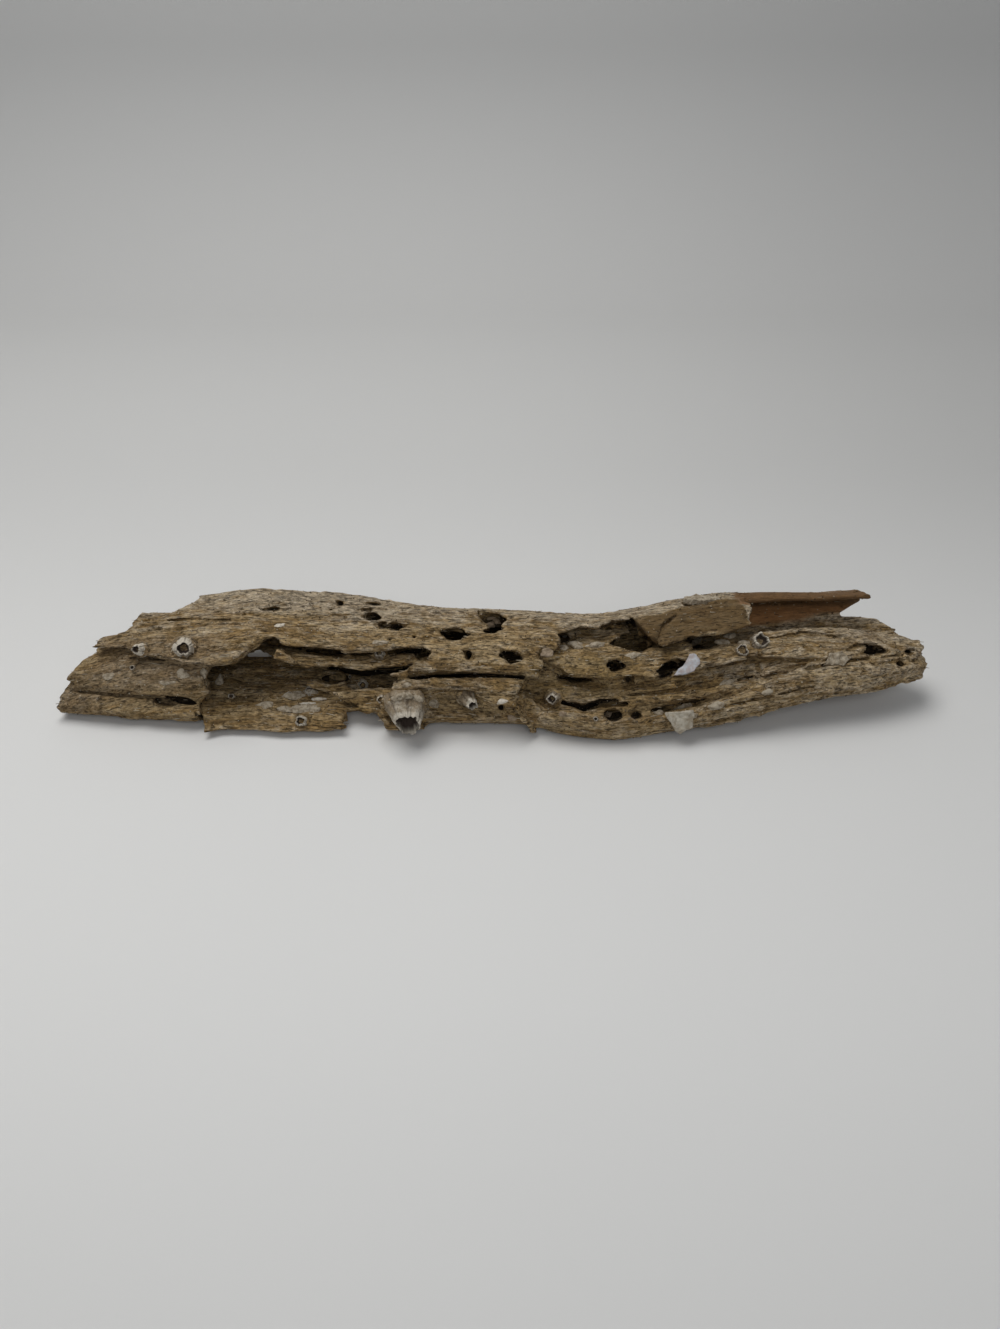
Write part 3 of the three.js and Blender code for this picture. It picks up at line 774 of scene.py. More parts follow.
        for i, x in enumerate(wood.axes[0]):
            across, up = SPINE.offset(x)
            over, above = wood.axes[1] - across, wood.axes[2] - up
            sheet = {grain: noise.sheet(x, over, above) for grain, noise in self.noise.items()}
            other = {grain: noise.sheet(x, over, above) for grain, noise in self.second.items()}
            nudge = low * np.interp(x, self.nudge_along, self.nudge_by)
            warped = [x + blended(sheet, self.SLIDE), y + blended(sheet, self.SWAY) + nudge,
                      z + blended(other, self.SWAY)]
            f = wood.sample(wood.coarse, wood.coarse_low, wood.coarse_step, warped)
            thin = wood.sample(wood.thin, wood.coarse_low, wood.coarse_step, warped)
            plate = np.maximum(read(edge, i), np.abs(wood.out - read(middle, i)) - read(half, i))
            f = -rounded_max(-f, -plate, self.plate_join)
            f = f + self.wear(sheet, other) * (1 - self.thin_keeps * thin) - self.wall_gain * thin
            cut = np.maximum(read(gap, i), read(floor, i) - wood.out) + self.cut_crumble * other[Grain.CRUMB]
            f = rounded_max(f, -cut, self.cut_join)
            result[i] = np.maximum(f, -z + self.floor_level)
        self.pits(result)
        self.bite(result)
        self.seats(result)
        return result

    def blob(self, result: np.ndarray, centre: np.ndarray, axis: np.ndarray, radii: np.ndarray,
             add: bool) -> None:
        """Adds or cuts an ellipsoid.

        Args:
            result: the field to change.
            centre: its middle in drawing mm.
            axis: its short way, of length one.
            radii: its reach along the log, across, and along its short way.
            add: whether it is added or cut.
        """
        wood = self.wood
        reach = max(radii) + 1.5
        window = tuple(
            slice(max(0, int((centre[k] - reach - wood.low[k]) / wood.step)),
                  max(0, int((centre[k] + reach - wood.low[k]) / wood.step) + 2)) for k in range(3))
        if 0 in result[window].shape:
            return
        grid = np.meshgrid(*[wood.axes[k][window[k]] - centre[k] for k in range(3)], indexing="ij")
        along = np.array([1.0, 0, 0]) - axis * axis[0]
        along /= np.linalg.norm(along) + 1e-9
        side = np.cross(axis, along)
        share = 0.0
        for way, radius in zip((along, side, axis), radii):
            share = share + (sum(g * w for g, w in zip(grid, way)) / radius) ** 2
        body = (np.sqrt(share) - 1) * min(radii)
        result[window] = np.minimum(result[window], body) if add else np.maximum(result[window], -body)

    def painted_shade_of(self, x: np.ndarray, rise: np.ndarray, out: np.ndarray) -> np.ndarray:
        """Finds how far inside a bore or a crack each place lies, for the painted shade there.

        Args:
            x: places along the log.
            rise: places up the slope.
            out: how far out they are.

        Returns:
            0 on the open surface, up to 1 deep inside.
        """
        raster = self.raster
        column = np.clip(np.searchsorted(raster.x, x), 0, len(raster.x) - 1)
        row = np.clip(((rise - raster.low) / raster.step).astype(int), 0, len(raster.rise) - 1)
        below = self.level[column, row] - out
        return ramp(self.sunk[column, row], self.painted_shade_depth) * ramp(below, self.painted_shade_below)

    def pits(self, result: np.ndarray) -> None:
        """Scatters small weather pits over the whole surface.

        Args:
            result: the field to change.
        """
        wood, chance = self.wood, np.random.default_rng(self.seed)
        corners = wood.points[wood.triangles]
        normal = np.cross(corners[:, 1] - corners[:, 0], corners[:, 2] - corners[:, 0])
        area = np.linalg.norm(normal, axis=1)
        for k in chance.choice(len(area), self.pit_count, p=area / area.sum()):
            share = chance.dirichlet((1, 1, 1))
            along, size = chance.uniform(*self.pit_along), chance.uniform(*self.pit_across)
            radii = np.array([along, size, size * self.pit_depth])
            centre = share @ corners[k]
            if centre[2] > self.pit_lowest:
                self.blob(result, centre, normal[k] / area[k], radii, False)

    def bite(self, result: np.ndarray) -> None:
        """Breaks the corner off the front plate, beside the crack that ends it."""
        centre = np.array([-137.0, 0, 0]) + SLOPE_UP * -19.5 + SLOPE_OUT * 33
        self.blob(result, centre, SLOPE_OUT, np.array([3.6, 4.0, 10.0]), False)

    def seats(self, result: np.ndarray) -> None:
        """Fills the wood under each barnacle, where the solid has a socket for it.

        Args:
            result: the field to change.
        """
        for shell in BARNACLES:
            seat = Seat.of(shell.node)
            centre = seat.base / MM - DRAWING_ZERO + seat.axis * self.seat_sunk
            radius = seat.radius / MM + self.seat_wide
            self.blob(result, centre, seat.axis, np.array([radius, radius, self.seat_depth]), True)


def net(values: np.ndarray, low: np.ndarray, step: float) -> tuple[np.ndarray, np.ndarray]:
    """Skins a field of distances with squares.

    Args:
        values: the field, negative inside.
        low: its lowest corner.
        step: its spacing.

    Returns:
        The skin's points, and its squares as rows of four point numbers.
    """
    inside = values < 0
    count = np.zeros([n - 1 for n in values.shape], np.int8)
    corners = list(np.ndindex(2, 2, 2))
    for c in corners:
        count += inside[c[0]:count.shape[0] + c[0], c[1]:count.shape[1] + c[1], c[2]:count.shape[2] + c[2]]
    cells = np.stack(np.nonzero((count > 0) & (count < 8)), 1)
    held = {c: values[cells[:, 0] + c[0], cells[:, 1] + c[1], cells[:, 2] + c[2]] for c in corners}
    total = np.zeros((len(cells), 3), np.float32)
    number = np.zeros(len(cells), np.float32)
    for a in corners:
        for axis in range(3):
            if a[axis]:
                continue
            b = tuple(1 if k == axis else a[k] for k in range(3))
            crossed = (held[a] < 0) != (held[b] < 0)
            share = held[a] / np.where(crossed, held[a] - held[b], 1)
            point = np.tile(np.array(a, np.float32), (len(cells), 1))
            point[:, axis] += share
            total += point * crossed[:, None]
            number += crossed
    points = low + step * (cells + total / number[:, None])
    names = np.full(count.shape, -1, np.int32)
    names[tuple(cells.T)] = np.arange(len(cells))
    squares = []
    for axis in range(3):
        u, v = (axis + 1) % 3, (axis + 2) % 3
        first = [slice(1, -1)] * 3
        second = [slice(1, -1)] * 3
        first[axis], second[axis] = slice(0, -1), slice(1, None)
        leaving = inside[tuple(first)] & ~inside[tuple(second)]
        entering = ~inside[tuple(first)] & inside[tuple(second)]
        for crossed, order in ((leaving, (0, 1, 2, 3)), (entering, (3, 2, 1, 0))):
            at = np.stack(np.nonzero(crossed), 1) + 1
            at[:, axis] -= 1
            ring = []
            for du, dv in ((1, 1), (0, 1), (0, 0), (1, 0)):
                cell = at.copy()
                cell[:, u] -= du
                cell[:, v] -= dv
                ring.append(names[tuple(cell.T)])
            squares.append(np.stack([ring[k] for k in order], 1))
    return points, np.concatenate(squares)


def largest_part(points: np.ndarray, squares: np.ndarray,
                 most_rounds: int = 200) -> tuple[np.ndarray, np.ndarray]:
    """Keeps the largest joined part of a skin, without crumbs that touch nothing.

    Args:
        points: the skin's points.
        squares: its squares.
        most_rounds: how often the labels may spread.

    Returns:
        The points and squares of the part that is kept.
    """
    label = np.arange(len(points))
    for _ in range(most_rounds):
        lowest = label[squares].min(1)
        fresh = label.copy()
        for k in range(4):
            np.minimum.at(fresh, squares[:, k], lowest)
        fresh = fresh[fresh]
        fresh = fresh[fresh]
        if (fresh == label).all():
            break
        label = fresh
    names, sizes = np.unique(label, return_counts=True)
    kept = label == names[np.argmax(sizes)]
    renamed = np.cumsum(kept) - 1
    return points[kept], renamed[squares[kept[squares[:, 0]]]]


def mesh_object(name: str, points: np.ndarray, faces: np.ndarray) -> bpy.types.Object:
    """Makes an object of faces with one number of corners.

    Args:
        name: the object's name.
        points: places in metres.
        faces: rows of point numbers.

    Returns:
        The linked object.
    """
    mesh = bpy.data.meshes.new(name)
    mesh.vertices.add(len(points))
    mesh.vertices.foreach_set("co", points.astype(np.float32).ravel())
    mesh.loops.add(faces.size)
    mesh.loops.foreach_set("vertex_index", faces.astype(np.int32).ravel())
    mesh.polygons.add(len(faces))
    mesh.polygons.foreach_set("loop_start", np.arange(0, faces.size, faces.shape[1], dtype=np.int32))
    mesh.update(calc_edges=True)
    mesh.validate()
    return linked(name, mesh)


def baked(piece: bpy.types.Object) -> bpy.types.Object:
    """Turns an object's modifiers into plain mesh.

    Args:
        piece: the object, which keeps its name.

    Returns:
        The same object without modifiers.
    """
    graph = bpy.context.evaluated_depsgraph_get()
    graph.update()
    plain = bpy.data.meshes.new_from_object(piece.evaluated_get(graph))
    old = piece.data
    piece.modifiers.clear()
    piece.data = plain
    bpy.data.meshes.remove(old)
    plain.name = piece.name
    return piece


def points_of(piece: bpy.types.Object, key: str = "co") -> np.ndarray:
    """Reads an object's points, in metres, or their normals.

    Args:
        piece: the object.
        key: "co" for the places, or "normal".

    Returns:
        One row for each point.
    """
    values = np.empty(len(piece.data.vertices) * 3)
    piece.data.vertices.foreach_get(key, values)
    return values.reshape(-1, 3)


def linked(name: str, data: bpy.types.ID) -> bpy.types.Object:
    """Makes an object of a mesh, a light or a camera and links it.

    Args:
        name: the object's name.
        data: what it holds.

    Returns:
        The object.
    """
    piece = bpy.data.objects.new(name, data)
    bpy.context.collection.objects.link(piece)
    return piece


def store(piece: bpy.types.Object, name: str, values: np.ndarray) -> None:
    """Stores a number or a vector at each of a piece's points.

    Args:
        piece: the piece.
        name: the attribute's name.
        values: one number or one row for each point.
    """
    kind, key = ("FLOAT_VECTOR", "vector") if values.ndim == 2 else ("FLOAT", "value")
    held = piece.data.attributes.new(name, kind, "POINT")
    held.data.foreach_set(key, values.astype(np.float32).ravel())


@dataclass(frozen=True)
class Seat:
    """Where a barnacle sits: the middle of its base, the way it faces, its radius and height."""

    base: np.ndarray
    axis: np.ndarray
    radius: float
    height: float

    @staticmethod
    def of(node: str) -> "Seat":
        """Reads a seat from a CAD node, whose base is its largest flat face.

        Args:
            node: the node's name.

        Returns:
            The seat, in metres.
        """
        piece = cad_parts[node]
        points = points_of(piece)
        piece.data.calc_loop_triangles()
        areas: dict[tuple[float, ...], float] = {}
        members: dict[tuple[float, ...], list[int]] = {}
        for triangle in piece.data.loop_triangles:
            key = tuple(round(n, 2) + 0.0 for n in triangle.normal)
            areas[key] = areas.get(key, 0) + triangle.area
            members.setdefault(key, []).extend(triangle.vertices)
        key = max(areas, key=areas.get)
        axis = -np.array(key)
        axis /= np.linalg.norm(axis)
        base = points[sorted(set(members[key]))].mean(0)
        offset = points - base
        height = offset @ axis
        radius = np.linalg.norm(offset - height[:, None] * axis, axis=1).max()
        return Seat(base, axis, float(radius), float(height.max()))


class Shade:
    """A value in a node tree, which Python's own operators work on."""

    def __init__(self, graph: "Graph", socket: bpy.types.NodeSocket) -> None:
        """Wraps an output socket of a graph."""
        self.graph = graph
        self.socket = socket

    def _maths(self, operation: str, *values: "Shade | float") -> "Shade":
        """Adds one Math node on these values."""
        return self.graph.node("ShaderNodeMath", {"operation": operation}, dict(enumerate(values)))

    def __add__(self, other: "Shade | float") -> "Shade":
        """Adds."""
        return self._maths("ADD", self, other)

    __radd__ = __add__

    def __mul__(self, other: "Shade | float") -> "Shade":
        """Multiplies."""
        return self._maths("MULTIPLY", self, other)

    __rmul__ = __mul__

    def __sub__(self, other: "Shade | float") -> "Shade":
        """Takes the other away."""
        return self._maths("SUBTRACT", self, other)

    def __rsub__(self, other: float) -> "Shade":
        """Is taken away from the other."""
        return self._maths("SUBTRACT", other, self)

    def __rtruediv__(self, other: float) -> "Shade":
        """Divides the other."""
        return self._maths("DIVIDE", other, self)

    def __pow__(self, other: float) -> "Shade":
        """Raises to a power."""
        return self._maths("POWER", self, other)

    def wave(self) -> "Shade":
        """Takes the sine."""
        return self._maths("SINE", self)

    def turned(self) -> "Shade":
        """Takes the cosine."""
        return self._maths("COSINE", self)

    def size(self) -> "Shade":
        """Drops the sign."""
        return self._maths("ABSOLUTE", self)

    def band(self, low: float, high: float) -> "Shade":
        """Runs from 0 at one value to 1 at another, eased and held outside.

        Args:
            low: the value that gives 0.
            high: the value that gives 1.

        Returns:
            The eased value.
        """
        settings = {"interpolation_type": "SMOOTHSTEP"}
        values = {"Value": self, "From Min": low, "From Max": high}
        return self.graph.node("ShaderNodeMapRange", settings, values)

    def share(self, low: float, high: float) -> "Shade":
        """Runs straight from 0 at one value to 1 at another, held outside.

        Args:
            low: the value that gives 0.
            high: the value that gives 1.

        Returns:
            The share.
        """
        return self.graph.node("ShaderNodeMapRange", {}, {"Value": self, "From Min": low, "From Max": high})


class Graph:
    """A node tree that is written as expressions."""

    def __init__(self, tree: bpy.types.NodeTree) -> None:
        """Takes a tree to fill."""
        self.tree = tree

    def node(self, kind: str, settings: dict | None = None, inputs: dict | None = None,
             output: int | str = 0) -> Shade:
        """Adds any node.

        Args:
            kind: the node's type.
            settings: its properties, which are set first.
            inputs: a value or a link for each socket, by name, identifier or number.
            output: the output that is wanted, by name, identifier or number.

        Returns:
            The output.
        """
        added = self.tree.nodes.new(kind)
        for key, value in (settings or {}).items():
            setattr(added, key, value)
        for key, value in (inputs or {}).items():
            socket = self.find(added.inputs, key)
            if isinstance(value, Shade):
                self.tree.links.new(value.socket, socket)
            else:
                socket.default_value = value
        return Shade(self, self.find(added.outputs, output))

    @staticmethod
    def find(sockets: bpy.types.bpy_prop_collection, key: int | str) -> bpy.types.NodeSocket:
        """Finds a socket by number, identifier or name.

        Args:
            sockets: a node's inputs or outputs.
            key: the socket's number, identifier or name.

        Returns:
            The socket.
        """
        if isinstance(key, int):
            return sockets[key]
        for socket in sockets:
            if socket.identifier == key:
                return socket
        return sockets[key]


class Paint(Graph):
    """A material's node tree, from its pattern's coordinates to its shader."""

    def __init__(self, name: str) -> None:
        """Makes an empty material.

        Args:
            name: the material's name.
        """
        self.material = bpy.data.materials.new(name)
        self.material.use_nodes = True
        super().__init__(self.material.node_tree)
        self.tree.nodes.clear()

    def number(self, name: str) -> Shade:
        """Reads a number that is stored on the piece."""
        return self.node("ShaderNodeAttribute", {"attribute_name": name}, output="Fac")

    def place(self, name: str = "") -> Shade:
        """Reads coordinates.

        Args:
            name: the attribute that holds them, or nothing for the object's own.

        Returns:
            The coordinates.
        """
        if name:
            return self.node("ShaderNodeAttribute", {"attribute_name": name}, output="Vector")
        return self.node("ShaderNodeTexCoord", output="Object")

    def stretched(self, place: Shade, cells: Triple) -> Shade:
        """Scales coordinates to cells of these sizes in mm."""
        scale = tuple(1000.0 / c for c in cells)
        return self.node("ShaderNodeVectorMath", {"operation": "MULTIPLY"}, {0: place, 1: scale})

    def noise(self, place: Shade, cells: Triple, detail: float, rough: float, warp: float = 0.0) -> Shade:
        """Adds fractal noise.

        Args:
            place: the coordinates.
            cells: the size of its cells in mm.
            detail: how many finer layers it has.
            rough: how strong they are.
            warp: how far it is distorted.

        Returns:
            The noise, around a half.
        """
        values = {"Vector": self.stretched(place, cells), "Scale": 1.0, "Detail": detail, "Roughness": rough,
                  "Distortion": warp}
        return self.node("ShaderNodeTexNoise", {}, values, "Fac")

    def cells(self, place: Shade, cells: Triple) -> Shade:
        """Adds the distances of a cell pattern with cells of these sizes in mm."""
        values = {"Vector": self.stretched(place, cells), "Scale": 1.0}
        return self.node("ShaderNodeTexVoronoi", {}, values, "Distance")

    def mix(self, share: "Shade | float", first: "Shade | tuple", second: "Shade | tuple",
            blend: str = "MIX") -> Shade:
        """Mixes two colours.

        Args:
            share: how much of the second shows.
            first: a colour.
            second: another colour.
            blend: how they mix.

        Returns:
            The mixed colour.
        """
        values = {"Factor_Float": share}
        for key, value in (("A_Color", first), ("B_Color", second)):
            values[key] = value if isinstance(value, Shade) else (*value, 1.0)
        settings = {"data_type": "RGBA", "blend_type": blend, "clamp_result": False}
        return self.node("ShaderNodeMix", settings, values, "Result_Color")

    def bump(self, height: Shade, depth: float, strength: float = 1.0) -> Shade:
        """Makes a normal from a height between 0 and 1, which stands for a depth in metres."""
        values = {"Height": height, "Distance": depth, "Strength": strength}
        return self.node("ShaderNodeBump", {}, values, "Normal")

    def finish(self, colour: Shade, rough: "Shade | float", normal: Shade,
               **constants: float) -> bpy.types.Material:
        """Closes the tree with its shader.

        Args:
            colour: the base colour.
            rough: the roughness.
            normal: the bumped normal.
            constants: other values of the shader's own sockets.

        Returns:
            The material.
        """
        values = {"Base Color": colour, "Roughness": rough, "Normal": normal}
        values.update({key.replace("_", " "): value for key, value in constants.items()})
        shader = self.node("ShaderNodeBsdfPrincipled", {}, values)
        end = self.tree.nodes.new("ShaderNodeOutputMaterial")
        self.tree.links.new(shader.socket, end.inputs["Surface"])
        return self.material


@dataclass(frozen=True)
class WeatheredWood:
    """Dry grey-brown wood: silvered ridges, ochre fibre, dark pores, and painted shade in its creases,
    hollows, cracks and bores.
    """

    umber: Colour = (0.108, 0.065, 0.027)
    ochre: Colour = (0.300, 0.196, 0.080)
    tan: Colour = (0.395, 0.287, 0.152)
    silver: Colour = (0.460, 0.385, 0.285)
    heart: Colour = (0.290, 0.143, 0.056)
    rot: Colour = (0.275, 0.198, 0.118)
    gold: Colour = (0.250, 0.172, 0.070)
    # Near-black, for the dark pores and for the painted shade in creases, hollows, cracks and bores.
    pore_dark_and_painted_shade: Colour = (0.012, 0.008, 0.005)
    salt: Colour = (0.60, 0.53, 0.43)

    def material(self) -> bpy.types.Material:
        """Builds the material.

        Returns:
            The material.
        """
        paint = Paint("weathered_wood")
        grain = paint.place("grain")
        names = ("cavity_shade", "silvered", "heart", "rotten", "dark_tint_and_painted_shade", "golden")
        cavity_shade, silvered, heart, rotten, dark_tint_and_painted_shade, golden = (paint.number(name) for name in names)
        bands = paint.noise(grain, (46, 4.2, 4.2), 3, 0.5, 0.3)
        fibres = paint.noise(grain, (10, 0.9, 0.9), 6, 0.68, 0.3)
        threads = paint.noise(grain, (4.5, 0.36, 0.36), 3, 0.6)
        blots = paint.noise(grain, (9, 4.5, 4.5), 6, 0.66, 0.6)
        crumbs = paint.noise(grain, (1.5, 1.0, 1.0), 4, 0.7)
        pores = paint.noise(grain, (3.6, 0.7, 0.7), 2, 0.5)
        flecks = paint.cells(grain, (2.6, 1.5, 1.5))
        patches = paint.noise(grain, (5.5, 1.7, 1.7), 4, 0.62, 0.8)
        colour = paint.mix(fibres.band(0.33, 0.62), self.umber, self.ochre)
        colour = paint.mix((bands * 0.6 + blots * 0.6).band(0.5, 0.74), colour, self.tan)
        weather = (silvered * 0.9 + (blots - 0.5) * 1.8 + (fibres - 0.5) * 1.3).band(0.2, 0.95)
        colour = paint.mix(weather * 0.8, colour, self.silver)
        crumbled = (rotten + (crumbs - 0.5) * 1.1).band(0.3, 0.8)
        colour = paint.mix(crumbled * 0.55, colour, self.rot)
        colour = paint.mix(golden * 0.42, colour, self.gold)
        warm = paint.mix(fibres.band(0.3, 0.7), self.heart, tuple(1.35 * c for c in self.heart))
        colour = paint.mix(heart * 0.95, colour, warm)
        # A dark umber tint on the lifted flap, and painted shade on the back shell's top rim where it faces
        # the front.
        colour = paint.mix(dark_tint_and_painted_shade * 0.7, colour, self.umber)
        salted = (1 - flecks.band(0.12, 0.34)) * (blots * 0.9 + silvered * 0.3).band(0.5, 0.75)
        colour = paint.mix(salted * (1 - heart) * 0.55, colour, self.salt)
        dark = (0.42 - pores).band(0.0, 0.08) * (1 - heart * 0.85)
        colour = paint.mix(dark * 0.62, colour, self.pore_dark_and_painted_shade)
        streak = (0.44 - threads).band(0.0, 0.12)
        colour = paint.mix(streak * 0.35, colour, self.umber)
        plain = 1 - (heart + dark_tint_and_painted_shade * 0.7) * 0.8
        speckle = (crumbs.band(0.3, 0.7) - 0.45) * 0.8 + (patches.band(0.32, 0.68) - 0.5) * 0.75
        mottle = 1 + speckle * plain
        colour = paint.mix(1.0, colour, mottle, "MULTIPLY")
        # Painted shade: creases, hollows, cracks and bores are painted near-black, darker where more wood
        # crowds around them.
        painted_cavity_shade = (cavity_shade + (crumbs - 0.5) * 0.35).band(0.25, 0.9)
        colour = paint.mix(painted_cavity_shade * 0.88, colour, self.pore_dark_and_painted_shade)
        height = fibres * 0.6 + threads * 0.25 + crumbs * (0.35 + rotten * 0.8) - dark * 0.45
        normal = paint.bump(height, 0.0017, 1.0)
        rough = 0.95 - heart * 0.3 - weather * 0.06
        return paint.finish(colour, rough, normal, Specular_IOR_Level=0.25)


@dataclass(frozen=True)
class BarnacleShell:
    """Chalky ribbed shell: off-white plates, tan stains at the foot, dark seams and painted shade down
    inside the mouth.
    """

    chalk: Colour = (0.66, 0.60, 0.50)
    stain: Colour = (0.27, 0.205, 0.130)
    seam: Colour = (0.085, 0.060, 0.040)
    # Near-black painted shade for the inside of the open mouth.
    depth: Colour = (0.040, 0.024, 0.017)

    def material(self) -> bpy.types.Material:
        """Builds the material.

        Returns:
            The material.
        """
        paint = Paint("barnacle_shell")
        place = paint.place()
        inner, seams, foot = paint.number("inner"), paint.number("seams"), paint.number("foot")
        edge, stained = paint.number("edge"), paint.number("stained")
        blots = paint.noise(place, (3.4, 3.4, 3.4), 5, 0.66)
        grit = paint.noise(place, (0.8, 0.8, 0.8), 4, 0.7)
        cover = (blots * 1.2 + stained * 0.9 + foot * 0.3 - edge * 0.75).band(0.62, 1.25)
        colour = paint.mix(cover, self.chalk, self.stain)
        colour = paint.mix((grit - 0.5).band(0.0, 0.16) * (0.6 - edge * 0.3), colour, self.seam)
        colour = paint.mix(seams * (0.65 - edge * 0.4), colour, self.seam)
        # Painted shade: the inside of the mouth is painted near-black.
        colour = paint.mix(inner * 0.96, colour, self.depth)
        normal = paint.bump(grit * 0.7 + blots * 0.6 - seams * 0.4, 0.0009, 1.0)
        return paint.finish(colour, 0.88 - blots * 0.1, normal, Specular_IOR_Level=0.3)


@dataclass(frozen=True)
class ScrapFinish:
    """A shell scrap or crust: two colours in blots, with dark specks in its low places."""

    name: str
    light: Colour
    dark: Colour
    blot: float
    rough: float
    coat: float = 0.0

    def material(self) -> bpy.types.Material:
        """Builds the material.

        Returns:
            The material.
        """
        paint = Paint(self.name)
        place = paint.place()
        blots = paint.noise(place, (self.blot,) * 3, 5, 0.62, 0.4)
        grit = paint.noise(place, (0.6,) * 3, 4, 0.7)
        colour = paint.mix(blots.band(0.35, 0.68), self.light, self.dark)
        specks = (0.4 - grit).band(0.0, 0.12) * 0.5
        colour = paint.mix(specks, colour, tuple(0.3 * c for c in self.dark))
        normal = paint.bump(grit * 0.6 + blots * 0.5, 0.0006, 0.7)
        rough = self.rough - grit * 0.1
        return paint.finish(colour, rough, normal, Coat_Weight=self.coat, Coat_Roughness=0.25)


CHALKY_SHELL = ScrapFinish("shell_scrap", (0.50, 0.46, 0.38), (0.29, 0.24, 0.17), 2.6, 0.85)
PEARLY_SHELL = ScrapFinish("pearly_shell", (0.47, 0.50, 0.54), (0.40, 0.34, 0.33), 1.6, 0.5, 0.35)
TAN_CHIP = ScrapFinish("tan_chip", (0.36, 0.28, 0.20), (0.22, 0.16, 0.10), 2.2, 0.9)
WHITE_CHIP = ScrapFinish("white_chip", (0.68, 0.63, 0.54), (0.46, 0.39, 0.30), 1.4, 0.8)
SALT_CRUST = ScrapFinish("salt_crust", (0.44, 0.38, 0.29), (0.20, 0.155, 0.10), 1.8, 0.95)


@dataclass(frozen=True)
class Barnacle:
    """An acorn barnacle.

    Its CAD node comes first, then the shares of its mouth and torn rim, how stained it is, its seed,
    how far its mouth leans along the log and up the slope, and how far the near rim is worn down.
    """

    node: str
    mouth: float = 0.6
    ragged: float = 0.18
    stained: float = 0.4
    seed: float = 1.0
    lean: Point = (0.0, 0.0)
    worn: float = 0.0


BARNACLES = (
    Barnacle("barnacle_tongue_left", 0.52, 0.16, -0.10, 1.0, (-0.15, -0.45), 0.2),
    Barnacle("barnacle_tongue_right", 0.58, 0.16, -0.05, 2.0, (0.15, -0.5), 0.1),
    Barnacle("barnacle_rim", 0.60, 0.22, 0.0, 3.0),
    Barnacle("barnacle_floor", 0.54, 0.16, 0.10, 4.0),
    Barnacle("barnacle_layer", 0.45, 0.30, 0.15, 5.0),
    Barnacle("barnacle_plate_upper", 0.52, 0.22, -0.05, 6.0),
    Barnacle("barnacle_plate_lower", 0.54, 0.26, 0.20, 7.0),
    Barnacle("barnacle_large", 0.60, 0.15, 0.30, 8.5, (0.05, 0.12), 0.38),
    Barnacle("barnacle_lens", 0.52, 0.14, 0.45, 9.0, (0.35, -0.35)),
    Barnacle("barnacle_hollow", 0.52, 0.26, 0.50, 10.0, (-0.1, -0.2)),
    Barnacle("barnacle_ring_broken", 0.74, 0.44, 0.45, 11.0),
    Barnacle("barnacle_ring", 0.72, 0.24, 0.30, 12.0),
)


# The shares of a solid's radius and height that its shell takes.
GROWN = (0.97, 0.94)


